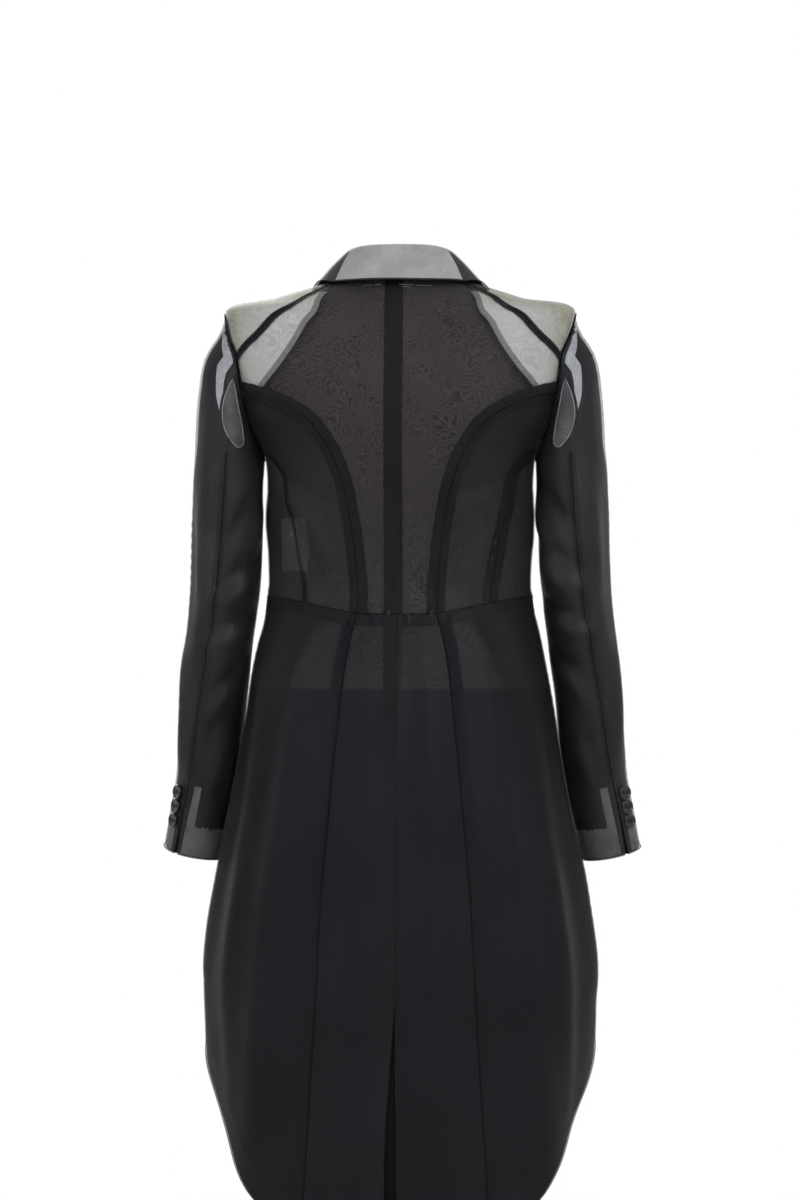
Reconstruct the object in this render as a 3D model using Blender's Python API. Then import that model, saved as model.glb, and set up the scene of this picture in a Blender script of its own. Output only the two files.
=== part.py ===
"""Longline tail-skirted blazer in sheer organza, in its worn shape and with nobody in it.

Metres. +Z is up, the garment's front faces -Y, and the wearer's left is +X. The origin lies midway
between the shoulder neck points, where the wearer's shoulders carry the garment.

The body is one smooth surface, body_point(angle, level). The angle is 0 at the wearer's side, 90
degrees at the centre back and -90 at the centre front. The level is the height of a ring up to the
armpit, and above that it runs over the shoulder to the neck. Each panel is an outline drawn on that
surface, filled with points and given a wall inwards. The sleeve is a tube surface made likewise.
"""
import math

import bpy
import numpy as np
from mathutils.bvhtree import BVHTree
from mathutils.geometry import delaunay_2d_cdt

WALL = 0.0012  # thickness of the doubled organza
SEAM = 0.0003  # gap that two sewn edges keep
BODY_RADIUS = 0.16  # turns body angles into lengths when points are spread over a panel
SLEEVE_RADIUS = 0.045
BODY_MESH = (0.028, 0.030)  # spacing of the points across and along a body panel
SKIRT_MESH = (0.029, 0.044)
SLEEVE_MESH = (0.017, 0.034)
PAD_MESH = (0.018, 0.018)
LAPEL_MESH = (0.018, 0.024)
BAND_MESH = (0.011, 0.018)
# Where points lie closer: column, gain, centre and width of the stretch of angle (0) or level (1).
BODY_TIGHT = ((0, 0.35, 0.0, 0.22), (1, 0.055, -0.045, 0.045))
SLEEVE_TIGHT = ((1, 0.080, -0.120, 0.080),)

# Rings of the body, hem to neck. A ring's height runs from z_side to z_back and z_front, and its
# outline is a superellipse of the given power.
# level, z_back, z_side, z_front, half_width, back, front, power
RINGS = (
    (-1.160, -1.160, -1.160, -1.160, 0.2140, 0.172, 0.150, 2.20),
    (-1.000, -1.000, -1.000, -1.000, 0.2200, 0.170, 0.150, 2.20),
    (-0.900, -0.900, -0.900, -0.900, 0.2235, 0.166, 0.148, 2.20),
    (-0.815, -0.815, -0.815, -0.815, 0.2265, 0.160, 0.146, 2.20),
    (-0.700, -0.700, -0.700, -0.700, 0.2117, 0.152, 0.140, 2.20),
    (-0.606, -0.606, -0.606, -0.606, 0.1940, 0.145, 0.134, 2.20),
    (-0.527, -0.527, -0.527, -0.527, 0.1817, 0.137, 0.128, 2.20),
    (-0.459, -0.459, -0.459, -0.459, 0.1723, 0.124, 0.122, 2.20),
    (-0.415, -0.415, -0.415, -0.415, 0.1640, 0.110, 0.118, 2.25),
    (-0.379, -0.379, -0.379, -0.379, 0.1572, 0.098, 0.115, 2.30),
    (-0.350, -0.350, -0.350, -0.350, 0.1545, 0.092, 0.114, 2.30),
    (-0.300, -0.300, -0.300, -0.300, 0.1560, 0.094, 0.118, 2.30),
    (-0.250, -0.250, -0.250, -0.250, 0.1560, 0.101, 0.122, 2.35),
    (-0.205, -0.207, -0.205, -0.208, 0.1590, 0.106, 0.121, 2.45),
    (-0.150, -0.166, -0.147, -0.172, 0.1860, 0.106, 0.116, 2.55),
    (-0.095, -0.128, -0.085, -0.140, 0.2000, 0.101, 0.106, 2.50),
    (-0.045, -0.090, -0.034, -0.112, 0.2060, 0.090, 0.094, 2.40),
    (0.025, -0.040, -0.0150, -0.075, 0.1420, 0.074, 0.082, 2.20),
    (0.095, 0.010, 0.0050, -0.045, 0.0780, 0.055, 0.070, 2.00),
    (0.125, 0.032, 0.0136, -0.032, 0.0506, 0.047, 0.064, 2.00),
)
SHOULDER_LEVEL = -0.045  # the ring through the shoulder tips
NECK_LEVEL = 0.095  # the ring of the neck seam
ARMPIT_LEVEL = -0.207
WAIST_LEVEL = -0.387

# Soft flutes of the skirt, raised out of the body's rings below the waist.
# degrees, width in degrees, depth, level where it begins, level where it is full
FLUTES = (
    (78.0, 9.0, 0.0050, -0.46, -0.90),
    (52.0, 8.0, -0.0040, -0.42, -0.80),
    (36.0, 9.0, 0.0060, -0.42, -0.85),
    (17.0, 8.0, -0.0045, -0.44, -0.80),
    (-2.0, 9.0, 0.0055, -0.44, -0.80),
    (-24.0, 9.0, -0.0045, -0.44, -0.75),
    (-44.0, 9.0, 0.0040, -0.44, -0.70),
)

# Seams on the back, as (x, z) seen from behind, from the neck or the armhole downwards.
SHOULDER_SEAM = ((0.079, 0.000), (0.104, -0.012), (0.132, -0.031), (0.161, -0.058), (0.1900, -0.088))
PRINCESS_SEAM = (
    (0.1840, -0.1270), (0.1580, -0.1350), (0.1300, -0.1460), (0.1030, -0.1630), (0.0820, -0.1900),
    (0.0650, -0.2290), (0.0550, -0.2760), (0.0490, -0.3230), (0.0460, -0.3860),
)
SIDE_SEAM = ((0.1640, -0.1930), (0.1400, -0.2150), (0.1240, -0.2760), (0.1150, -0.3230), (0.1080, -0.3740))
ARMHOLE_BACK = (
    (0.1995, -0.0620), (0.1900, -0.0880), (0.1870, -0.1120), (0.1815, -0.1390), (0.1760, -0.1610),
    (0.1675, -0.1850),
)
ARMHOLE_FRONT = (
    (0.1960, -0.0620), (0.1840, -0.0880), (0.1740, -0.1150), (0.1680, -0.1400), (0.1650, -0.1650),
    (0.1640, -0.1860),
)
PLEAT_LINE = (
    (0.0460, -0.3860), (0.0560, -0.4250), (0.0650, -0.4900), (0.0760, -0.6000), (0.0860, -0.7200),
    (0.0920, -0.8400), (0.0980, -0.9350), (0.1050, -1.0500), (0.1080, -1.0970),
)

# The waist seam's height round the body, and the edge of the skirt: hem, rounded corner, cutaway.
WAIST_LINE = (
    (-100, -0.388), (-90, -0.388), (-45, -0.376), (0, -0.366), (25, -0.369), (45, -0.378),
    (60, -0.384), (90, -0.387),
)
SKIRT_EDGE = (
    (-99, -0.396), (-94, -0.412), (-88, -0.440), (-78, -0.490), (-65, -0.552), (-45, -0.655),
    (-25, -0.770), (-8, -0.865), (2, -0.910), (12, -0.950), (22, -0.992), (30, -1.028), (38, -1.058),
    (47, -1.080), (57, -1.092), (70, -1.097), (90, -1.098),
)
# The vent's edges: level, x of the left one, x of the right one (towards the wearer's right)
VENT = ((-0.400, 0.0, 0.0), (-0.800, 0.0, 0.0), (-0.900, 0.0060, 0.0004), (-1.000, 0.0120, 0.0014),
        (-1.110, 0.0130, 0.0022))

FRONT_EDGE_X = -0.018  # the left front's edge, past the centre front
BREAK_Z = -0.360  # where the lapel's roll line meets the front edge
ROLL_TOP = (0.0470, -0.0250)  # (x, z) of the roll line at the neck
LAPEL_EDGE = (
    (-0.0175, -0.3560), (0.0100, -0.3250), (0.0450, -0.2700), (0.0800, -0.2000), (0.1080, -0.1300),
    (0.1180, -0.0900),
)
LAPEL_NOTCH = (0.0880, -0.0540)
LAPEL_GORGE_END = (0.0520, -0.0380)
LAPEL_LIFT = 0.0022  # height of the lapel's underside over the front
LAPEL_LIFT_ABOVE = 0.0020  # added near the shoulder
LAPEL_ROLL_LIFT = 0.0004  # its height at the roll line
UNDERLAP_TUCK = 0.0064  # how far the right front lies inside the left one at the centre front

# Collar sections from the centre back round to the gorge.
# degrees, roll line's x, y, z, fall edge's x, y and lowest z
COLLAR = (
    (90, 0.0000, 0.0500, 0.0440, 0.0000, 0.0720, 0.0010),
    (68, 0.0230, 0.0465, 0.0440, 0.0310, 0.0680, 0.0010),
    (45, 0.0430, 0.0350, 0.0430, 0.0600, 0.0560, 0.0010),
    (22, 0.0560, 0.0180, 0.0390, 0.0850, 0.0300, 0.0010),
    (0, 0.0620, -0.0020, 0.0300, 0.0970, -0.0030, -0.0010),
    (-22, 0.0620, -0.0230, 0.0150, 0.1060, -0.0330, -0.0130),
    (-38, 0.0585, -0.0400, 0.0010, 0.1120, -0.0590, -0.0330),
    (-50, 0.0540, -0.0530, -0.0100, 0.1150, -0.0760, -0.0560),
)
COLLAR_WALL = 0.0016
COLLAR_FOLD = 0.0032  # radius of the fold between stand and fall
COLLAR_CLEAR = 0.0046  # height of the fall's edge over the shoulder

# Rings of the sleeve: level, inner x, outer x, y of the centre, half of the depth
SLEEVE_RINGS = (
    (-0.010, 0.1650, 0.2040, 0.000, 0.038),
    (-0.038, 0.1610, 0.2090, 0.000, 0.046),
    (-0.056, 0.1590, 0.2160, 0.000, 0.051),
    (-0.076, 0.1580, 0.2265, 0.000, 0.055),
    (-0.096, 0.1580, 0.2330, 0.000, 0.058),
    (-0.126, 0.1580, 0.2370, 0.000, 0.061),
    (-0.170, 0.1590, 0.2400, 0.000, 0.063),
    (-0.216, 0.1605, 0.2430, -0.001, 0.063),
    (-0.270, 0.1615, 0.2460, -0.004, 0.061),
    (-0.325, 0.1630, 0.2475, -0.008, 0.058),
    (-0.365, 0.1665, 0.2490, -0.012, 0.056),
    (-0.406, 0.1725, 0.2530, -0.018, 0.054),
    (-0.459, 0.1790, 0.2590, -0.027, 0.052),
    (-0.540, 0.1875, 0.2645, -0.043, 0.048),
    (-0.588, 0.1950, 0.2685, -0.052, 0.045),
    (-0.635, 0.2040, 0.2770, -0.060, 0.043),
    (-0.675, 0.2110, 0.2850, -0.066, 0.042),
    (-0.700, 0.2150, 0.2900, -0.070, 0.042),
)
CUFF_LEVEL = -0.669
HEAD_BLEND = 0.055  # length over which the sleeve head leaves the armhole
# The sleeve's long seams: level, degrees round the sleeve
BACK_SEAM = ((-0.020, 92), (-0.240, 90), (-0.340, 82), (-0.460, 72), (-0.580, 58), (-0.700, 54))
FRONT_SEAM = ((-0.020, 246), (-0.240, 244), (-0.460, 240), (-0.700, 236))
CUFF_VENT_GAP = ((-0.560, 0.0), (-0.580, 0.0), (-0.630, 2.0), (-0.700, 6.0))  # level, degrees open

PAD_INSIDE_BACK = ((0.0820, -0.0070), (0.0965, -0.0390), (0.1175, -0.0735), (0.1405, -0.1050),
                   (0.1600, -0.1290))
PAD_BOTTOM_BACK = (0.1790, -0.1315)
PAD_INSIDE_FRONT = ((0.0900, -0.0120), (0.1100, -0.0340), (0.1350, -0.0620), (0.1580, -0.0880))
PAD_BOTTOM_FRONT = (0.1780, -0.0960)
PAD_UPRIGHT = 2.0  # turns the pad's thickness downwards from the cloth's normal
PAD_EDGE = 0.0012  # thickness of the shoulder pad at its inner edge
PAD_FULL = 0.0080  # and at the armhole
UNDER_CLOTH = 0.0034  # depth at which the shoulder pads lie under the body's surface
DEEP_UNDER_CLOTH = 0.0040  # and the sleeve canvas
JUST_UNDER_CLOTH = 0.0031  # and the label and the cuff's interfacing
WADDING_DEPTH = 0.0068
PAD_CLEAR = 0.0050  # how far the pad's edge stays off its outline
WADDING_NEAR, WADDING_FAR = 0.0045, 0.0135  # its edges' drops below the armhole seam
WADDING_TAIL = ((0.2130, -0.0950), (0.2140, -0.1150), (0.2130, -0.1330), (0.2090, -0.1490),
                (0.2045, -0.1280), (0.2015, -0.1050))
CANVAS_OUTLINE = (
    (0.1935, -0.1120), (0.2010, -0.1300), (0.2050, -0.1500), (0.2030, -0.1680), (0.1950, -0.1840),
    (0.1850, -0.1930), (0.1800, -0.1880), (0.1820, -0.1680), (0.1865, -0.1460), (0.1905, -0.1240),
)

LABEL_SIZE = (0.030, 0.062)
LABEL_PLACE = (0.1210, -0.3060)
CUFF_BUTTON_LEVELS = (-0.598, -0.6155, -0.633)
CUFF_BUTTON_DEGREES = 37.0
CUFF_BUTTON_RADIUS = 0.0086
CUFF_BUTTON_CLEAR = 0.0005
WAIST_BUTTON_RADIUS = 0.0100
WAIST_BUTTON_Z = -0.3735


def smooth_table(rows):
    """A function that reads the columns of rows at any value of the first one, along smooth curves."""
    table = np.array(rows, float)
    order = np.argsort(table[:, 0])
    keys, values = table[order, 0], table[order, 1:]
    steps = np.diff(keys)[:, None]
    slopes = np.diff(values, axis=0) / steps
    tangents = np.empty_like(values)
    tangents[0], tangents[-1] = slopes[0], slopes[-1]
    tangents[1:-1] = (slopes[:-1] * steps[1:] + slopes[1:] * steps[:-1]) / (steps[:-1] + steps[1:])
    flat = np.minimum(np.abs(slopes[:-1]), np.abs(slopes[1:])) * 3
    tangents[1:-1] = np.where(slopes[:-1] * slopes[1:] > 0, np.clip(tangents[1:-1], -flat, flat), 0)

    def read(at):
        at = np.clip(np.atleast_1d(np.asarray(at, float)), keys[0], keys[-1])
        cell = np.clip(np.searchsorted(keys, at, side="right") - 1, 0, len(keys) - 2)
        width = (keys[cell + 1] - keys[cell])[:, None]
        t = (at - keys[cell])[:, None] / width
        start, end = values[cell], values[cell + 1]
        return (
            start * (2 * t**3 - 3 * t**2 + 1)
            + end * (3 * t**2 - 2 * t**3)
            + tangents[cell] * width * (t**3 - 2 * t**2 + t)
            + tangents[cell + 1] * width * (t**3 - t**2)
        )

    return read


def ease(x):
    """0 below 0, 1 above 1, and smooth between."""
    x = np.clip(x, 0.0, 1.0)
    return x * x * (3 - 2 * x)


read_ring = smooth_table(RINGS)
read_waist = smooth_table(WAIST_LINE)
read_skirt_edge = smooth_table(SKIRT_EDGE)
read_vent = smooth_table(VENT)
read_sleeve = smooth_table(SLEEVE_RINGS)
read_back_seam = smooth_table(BACK_SEAM)
read_front_seam = smooth_table(FRONT_SEAM)
read_vent_gap = smooth_table(CUFF_VENT_GAP)


def flutes(angle, level):
    """How far the skirt's flutes stand out of its rings."""
    out = np.zeros_like(angle)
    for degrees, width, depth, top, full in FLUTES:
        near = np.exp(-(((np.degrees(angle) - degrees) / width) ** 2))
        out += depth * near * ease((top - level) / (top - full))
    return out


def body_point(uv):
    """Points of the body's left half at (angle, level), as an n by 3 array."""
    angle, level = uv[:, 0], uv[:, 1]
    z_back, z_side, z_front, half_width, back, front, power = read_ring(level).T
    sine, cosine = np.sin(angle), np.cos(angle)
    depth = np.where(sine > 0, back, front)
    radius = (np.abs(cosine / half_width) ** power + np.abs(sine / depth) ** power) ** (-1 / power)
    radius += flutes(angle, level)
    end = np.where(sine > 0, z_back, z_front)
    height = z_side + (end - z_side) * sine**2
    return np.stack([radius * cosine, radius * sine, height], 1)


def normals(surface, uv, step=(2e-4, 2e-5)):
    """Outward unit normals of a surface at (angle, level)."""
    across = surface(uv + [step[0], 0]) - surface(uv - [step[0], 0])
    along = surface(uv + [0, step[1]]) - surface(uv - [0, step[1]])
    normal = np.cross(across, along)
    return normal / np.linalg.norm(normal, axis=1, keepdims=True)


def solve(surface, guess, target, axes, most=0.08):
    """Newton's steps from guess to the (angle, level) whose point has the target's coordinates."""
    guess = np.array(guess, float)
    for _ in range(40):
        trio = guess + np.array([[0, 0], [1e-4, 0], [0, 1e-5]])
        seen = surface(trio)[:, axes] - target
        slope = ((seen[1:] - seen[0]) / [[1e-4], [1e-5]]).T
        step = np.linalg.solve(slope.T @ slope + 1e-7 * np.eye(2), slope.T @ seen[0])
        guess -= np.clip(step, -most, most)
    return guess, np.linalg.norm(surface(guess[None])[0, axes] - target)


def locate(x, z, front=False):
    """The (angle, level) where the body's back or front shows the point (x, z)."""
    sign = -1.0 if front else 1.0
    tries = []
    for degrees in (30, 65):
        start = (sign * math.radians(degrees), z + 0.03 * (z > -0.15))
        found, miss = solve(body_point, start, (x, z), [0, 2])
        tries.append((miss, tuple(found)))
    return np.array(min(tries)[1])


def locate_on_sleeve(x, z):
    """The (angle, level) where the back of the sleeve shows the point (x, z)."""
    return solve(sleeve_point, (math.radians(85), z), (x, z), [0, 2])[0]


def curve_through(points, step, weights=(BODY_RADIUS, 1.0)):
    """Points about a step apart on a smooth curve through the given ones, both ends included."""
    points = np.array(points, float)
    runs = np.linalg.norm(np.diff(points, axis=0) * weights, axis=1)
    along = np.concatenate([[0], np.cumsum(runs)])
    read = smooth_table(np.column_stack([along, points]))
    count = max(2, int(round(along[-1] / step)) + 1)
    return read(np.linspace(0, along[-1], count))


def located(points, step, front=False):
    return curve_through([locate(x, z, front) for x, z in points], step)


def inset(outline, amount, surface):
    """The outline, drawn anticlockwise, moved inwards by amount as measured on the surface."""
    across = (surface(outline + [1e-4, 0]) - surface(outline - [1e-4, 0])) / 2e-4
    along = (surface(outline + [0, 1e-5]) - surface(outline - [0, 1e-5])) / 2e-5
    slopes = np.stack([across, along], 2)
    metric = np.einsum("nij,nik->njk", slopes, slopes) + 1e-9 * np.eye(2)
    to_flat = np.transpose(np.linalg.cholesky(metric), (0, 2, 1))
    before = np.einsum("nij,nj->ni", to_flat, outline - np.roll(outline, 1, 0))
    after = np.einsum("nij,nj->ni", to_flat, np.roll(outline, -1, 0) - outline)
    before /= np.linalg.norm(before, axis=1, keepdims=True)
    after /= np.linalg.norm(after, axis=1, keepdims=True)
    left_of_after = np.stack([-after[:, 1], after[:, 0]], 1)
    left_of_before = np.stack([-before[:, 1], before[:, 0]], 1)
    middle = left_of_after + left_of_before
    middle /= np.maximum(np.linalg.norm(middle, axis=1, keepdims=True), 1e-9)
    stretch = 1 / np.clip((middle * left_of_after).sum(1, keepdims=True), 0.2, 1)
    return outline + np.linalg.solve(to_flat, (middle * amount * stretch)[:, :, None])[:, :, 0]


def hex_points(outline):
    """Points of a triangular grid of unit spacing inside an outline and clear of its edge."""
    low, high = outline.min(0), outline.max(0)
    rows = np.arange(low[1] + 0.5, high[1], math.sqrt(0.75))
    grid = [
        (x + 0.5 * (number % 2), y)
        for number, y in enumerate(rows)
        for x in np.arange(low[0] + 0.25, high[0], 1.0)
    ]
    if not grid:
        return np.zeros((0, 2))
    grid = np.array(grid)
    start, end = outline, np.roll(outline, -1, 0)
    run = end - start
    inside = np.zeros(len(grid), bool)
    nearest = np.full(len(grid), np.inf)
    for a, b, r in zip(start, end, run):
        crosses = (a[1] > grid[:, 1]) != (b[1] > grid[:, 1])
        if abs(r[1]) > 1e-12:
            inside ^= crosses & (grid[:, 0] < a[0] + (grid[:, 1] - a[1]) * r[0] / r[1])
        t = np.clip(((grid - a) @ r) / max(r @ r, 1e-12), 0, 1)
        nearest = np.minimum(nearest, np.linalg.norm(grid - (a + t[:, None] * r), axis=1))
    return grid[inside & (nearest > 0.5)]


def bump(value, centre, width):
    """A step from -1 to 1 at the centre, and its slope."""
    bend = np.tanh((value - centre) / width)
    return bend, (1 - bend**2) / width


def spread(uv, rows):
    """Stretches angle and level where the surface is tightly curved, so that more points fall there.
    A row says which column it stretches, by how much, where and how widely."""
    out = uv.copy()
    for column, gain, centre, width in rows:
        share = ease((uv[:, 1] + 0.20) / 0.10) if column == 0 else 1.0
        out[:, column] += gain * share * bump(uv[:, column], centre, width)[0]
    return out


def gather(uv, rows):
    """Undoes spread, the level first because the angle's stretch depends on it."""
    out = uv.copy()
    for column, gain, centre, width in sorted(rows, reverse=True):
        share = ease((out[:, 1] + 0.20) / 0.10) if column == 0 else 1.0
        for _ in range(25):
            bend, slope = bump(out[:, column], centre, width)
            error = out[:, column] + gain * share * bend - uv[:, column]
            out[:, column] -= error / (1 + gain * share * slope)
    return out


def triangulate(outline, spacing, flat_radius):
    """Fills an outline with triangles: (angle, level) points, outline first, and the triangles."""
    scale = np.array([flat_radius / spacing[0], 1 / spacing[1]])
    tight = BODY_TIGHT if flat_radius == BODY_RADIUS else SLEEVE_TIGHT
    scaled = spread(outline, tight) * scale
    points = np.vstack([scaled, hex_points(scaled)])
    count = len(outline)
    edges = [(i, (i + 1) % count) for i in range(count)]
    flat, _, faces, origins, _, _ = delaunay_2d_cdt(
        [tuple(p) for p in points], edges, [list(range(count))], 1, 1e-7
    )
    flat = gather(np.array([tuple(p) for p in flat]) / scale, tight)
    return flat, [tuple(f) for f in faces], [o[0] if o else -1 for o in origins]


def edge_loop(faces):
    """The open edges of a fan of triangles, each as it runs in its own face."""
    edges = {(f[i], f[(i + 1) % len(f)]) for f in faces for i in range(len(f))}
    return [(a, b) for a, b in edges if (b, a) not in edges]


def material(name, colour, roughness=0.6):
    made = bpy.data.materials.get(name)
    if made:
        return made
    made = bpy.data.materials.new(name)
    made.use_nodes = True
    shader = made.node_tree.nodes["Principled BSDF"]
    shader.inputs["Base Color"].default_value = (*colour, 1.0)
    shader.inputs["Roughness"].default_value = roughness
    made.diffuse_color = (*colour, 1.0)
    return made


ORGANZA = ("organza", (0.020, 0.019, 0.021), 0.55)
PADDING = ("padding", (0.55, 0.55, 0.49), 0.9)
CANVAS = ("canvas", (0.20, 0.20, 0.21), 0.9)
WADDING = ("wadding", (0.55, 0.57, 0.60), 0.9)
INTERFACING = ("interfacing", (0.50, 0.52, 0.53), 0.85)
BUTTON = ("button", (0.012, 0.012, 0.013), 0.2)
LABEL = ("label", (0.30, 0.30, 0.32), 0.6)


def add_object(name, points, faces, look):
    """Makes one closed solid, facing outwards."""
    points = np.asarray(points)
    corners = [points[[f[i] for f in faces]] for i in range(3)]
    volume = np.einsum("ij,ij->i", corners[0], np.cross(corners[1], corners[2])).sum()
    if volume < 0:
        faces = [tuple(reversed(f)) for f in faces]
    mesh = bpy.data.meshes.new(name)
    mesh.from_pydata([tuple(p) for p in points], [], faces)
    mesh.validate()
    mesh.materials.append(material(*look))
    mesh.shade_smooth()
    mesh.set_sharp_from_angle(angle=math.radians(40))
    made = bpy.data.objects.new(name, mesh)
    bpy.context.scene.collection.objects.link(made)
    return made


def wall(name, surface, outline, side, look, spacing, flat_radius, lift=None, thick=WALL,
         edge_ways=None, gap=SEAM / 2, upright=0.0):
    """A wall of cloth on a surface. lift(uv) moves its outside along the normals, thick may be a
    function too, and edge_ways gives the wall's direction at those outline points that have one."""
    outline = inset(np.asarray(outline), gap, surface)
    uv, faces, origins = triangulate(outline, spacing, flat_radius)
    normal = normals(surface, uv)
    outside = surface(uv)
    if lift is not None:
        outside = outside + normal * lift(uv)[:, None]
    way = normal + np.array([0, 0, upright])
    way /= np.linalg.norm(way, axis=1, keepdims=True)
    if edge_ways is not None:
        for row, origin in enumerate(origins):
            if 0 <= origin < len(edge_ways) and edge_ways[origin] is not None:
                way[row] = edge_ways[origin]
    depth = thick(uv)[:, None] if callable(thick) else thick
    inside = outside - way * depth
    count = len(uv)
    solid = [tuple(f) for f in faces]
    solid += [(f[2] + count, f[1] + count, f[0] + count) for f in faces]
    for a, b in edge_loop(faces):
        solid += [(b, a, a + count), (b, a + count, b + count)]
    points = np.vstack([outside, inside]) * [side, 1, 1]
    return add_object(name, points, solid, look)


def side_name(side):
    return "left" if side > 0 else "right"


# ---- curves that the panels share -------------------------------------------------------------


def armhole_curve():
    """The armhole from the shoulder tip down the back to the armpit and up the front, closed."""
    tip, pit = (0.0, SHOULDER_LEVEL), (0.0, ARMPIT_LEVEL)
    back = [tip] + [tuple(locate(x, z)) for x, z in ARMHOLE_BACK] + [pit]
    front = [tuple(locate(x, z, True)) for x, z in reversed(ARMHOLE_FRONT)] + [tip]
    points = np.array(back + front)
    runs = np.linalg.norm(np.diff(body_point(points), axis=0), axis=1)
    along = np.concatenate([[0], np.cumsum(runs)])
    wrapped = np.vstack([
        np.column_stack([along[:-1] - along[-1], points[:-1]]),
        np.column_stack([along, points]),
        np.column_stack([along[1:] + along[-1], points[1:]]),
    ])
    return smooth_table(wrapped), along, len(back) - 1


ARMHOLE, ARMHOLE_RUNS, PIT_ROW = armhole_curve()
ARMHOLE_STEP = 0.0165


def armhole_place(x, z):
    """How far down the back of the armhole the point (x, z) lies, from the shoulder tip."""
    tries = np.linspace(0, ARMHOLE_RUNS[PIT_ROW], 400)
    seen = body_point(ARMHOLE(tries))[:, [0, 2]]
    return tries[np.argmin(np.linalg.norm(seen - (x, z), axis=1))]


SHOULDER_PLACE = armhole_place(*SHOULDER_SEAM[-1])
PRINCESS_PLACE = armhole_place(*PRINCESS_SEAM[0])
SIDE_PLACE = armhole_place(*SIDE_SEAM[0])
ROUND = ARMHOLE_RUNS[-1]


def armhole_knots():
    """Places of the points that the body's panels and the sleeve share along the armhole."""
    stops = [0.0, SHOULDER_PLACE, PRINCESS_PLACE, SIDE_PLACE, ARMHOLE_RUNS[PIT_ROW], ROUND]
    knots = []
    for low, high in zip(stops[:-1], stops[1:]):
        count = max(1, int(round((high - low) / ARMHOLE_STEP)))
        knots += list(np.linspace(low, high, count, endpoint=False))
    return np.array(knots)


KNOTS = armhole_knots()


def armhole_part(start, end):
    """The shared points from start to end along the armhole, both included."""
    knots = np.concatenate([KNOTS, KNOTS + ROUND, [2 * ROUND]])
    chosen = knots[(knots > start - 1e-6) & (knots < end + 1e-6)]
    return ARMHOLE(np.mod(chosen, ROUND))


def sleeve_degrees(place):
    """Turns a place along the armhole into degrees round the sleeve, the armpit being at 180."""
    half = ARMHOLE_RUNS[PIT_ROW]
    return np.where(place <= half, 180 * place / half, 180 + 180 * (place - half) / (ROUND - half))


def armhole_at(degrees):
    """Body (angle, level) of the armhole at degrees round the sleeve."""
    half = ARMHOLE_RUNS[PIT_ROW]
    degrees = np.mod(degrees, 360)
    place = np.where(degrees <= 180, degrees / 180 * half, half + (degrees - 180) / 180 * (ROUND - half))
    return ARMHOLE(place)


def underarm(degrees):
    """1 near the armpit, where the sleeve hangs down beside the body, and 0 higher up."""
    return ease((62 - np.abs(degrees - 180)) / 24)


def seam_way(degrees):
    """Direction that the walls of the body and of the sleeve share where they meet."""
    degrees = np.atleast_1d(np.asarray(degrees, float))
    start = sleeve_top(degrees)
    way = normals(body_point, armhole_at(degrees)) + normals(sleeve_point, start - [0, 0.008])
    return way / np.linalg.norm(way, axis=1, keepdims=True)


def waist_curve(start, end, step=0.020):
    """The waist seam from one angle to another, in degrees."""
    count = max(2, int(round(abs(end - start) * BODY_RADIUS * math.pi / 180 / step)) + 1)
    degrees = np.linspace(start, end, count)
    return np.column_stack([np.radians(degrees), read_waist(degrees)[:, 0]])


def skirt_edge_curve(start, end, step=0.022):
    tries = np.linspace(start, end, 400)
    line = np.column_stack([np.radians(tries), read_skirt_edge(tries)[:, 0]])
    runs = np.linalg.norm(np.diff(line * [BODY_RADIUS, 1], axis=0), axis=1)
    along = np.concatenate([[0], np.cumsum(runs)])
    count = max(2, int(round(along[-1] / step)) + 1)
    return np.column_stack([
        np.interp(np.linspace(0, along[-1], count), along, line[:, column]) for column in (0, 1)
    ])


def meet_waist(curve):
    """The curve with its last point moved onto the waist seam."""
    curve = curve.copy()
    curve[-1, 1] = read_waist(np.degrees(curve[-1, 0]))[0, 0]
    return curve


PRINCESS = located(PRINCESS_SEAM, 0.019)
PRINCESS[0] = ARMHOLE(PRINCESS_PLACE)[0]
PRINCESS = meet_waist(PRINCESS)
SIDE = located(SIDE_SEAM, 0.022)
SIDE[0] = ARMHOLE(SIDE_PLACE)[0]
SIDE = meet_waist(SIDE)
SHOULDER = located(SHOULDER_SEAM, 0.022)
SHOULDER[-1] = ARMHOLE(SHOULDER_PLACE)[0]
SHOULDER[0, 1] = NECK_LEVEL
PLEAT = located(PLEAT_LINE, 0.030)
PLEAT[0] = PRINCESS[-1]
PLEAT[-1, 1] = read_skirt_edge(np.degrees(PLEAT[-1, 0]))[0, 0]
ROLL_START = locate(*ROLL_TOP, front=True)


def neck_curve(start, end, step=0.020):
    """The neck seam between two angles in radians."""
    count = max(2, int(round(abs(end - start) * 0.066 / step)) + 1)
    return np.column_stack([np.linspace(start, end, count), np.full(count, NECK_LEVEL)])


def join(*parts):
    """One closed outline from curves that end where the next begins."""
    rows = []
    for part in parts:
        for point in part:
            if not rows or np.linalg.norm(np.subtract(rows[-1], point)) > 1e-6:
                rows.append(tuple(point))
    if np.linalg.norm(np.subtract(rows[0], rows[-1])) < 1e-6:
        rows.pop()
    return np.array(rows)


def ways_for(outline):
    """The shared wall directions of those outline points that lie on the armhole."""
    knots = ARMHOLE(KNOTS)
    degrees = sleeve_degrees(KNOTS)
    ways = seam_way(degrees)
    found = []
    for point in outline:
        distance = np.linalg.norm(knots - point, axis=1)
        nearest = np.argmin(distance)
        shared = distance[nearest] < 1e-5 and underarm(degrees[nearest]) < 0.5
        found.append(ways[nearest] if shared else None)
    return found


def body_wall(name, outline, side, lift=None, spacing=BODY_MESH, thick=WALL, look=ORGANZA, gap=SEAM / 2):
    return wall(name, body_point, outline, side, look, spacing, BODY_RADIUS, lift, thick,
                ways_for(outline), gap)


# ---- the bodice ------------------------------------------------------------------------------


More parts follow.
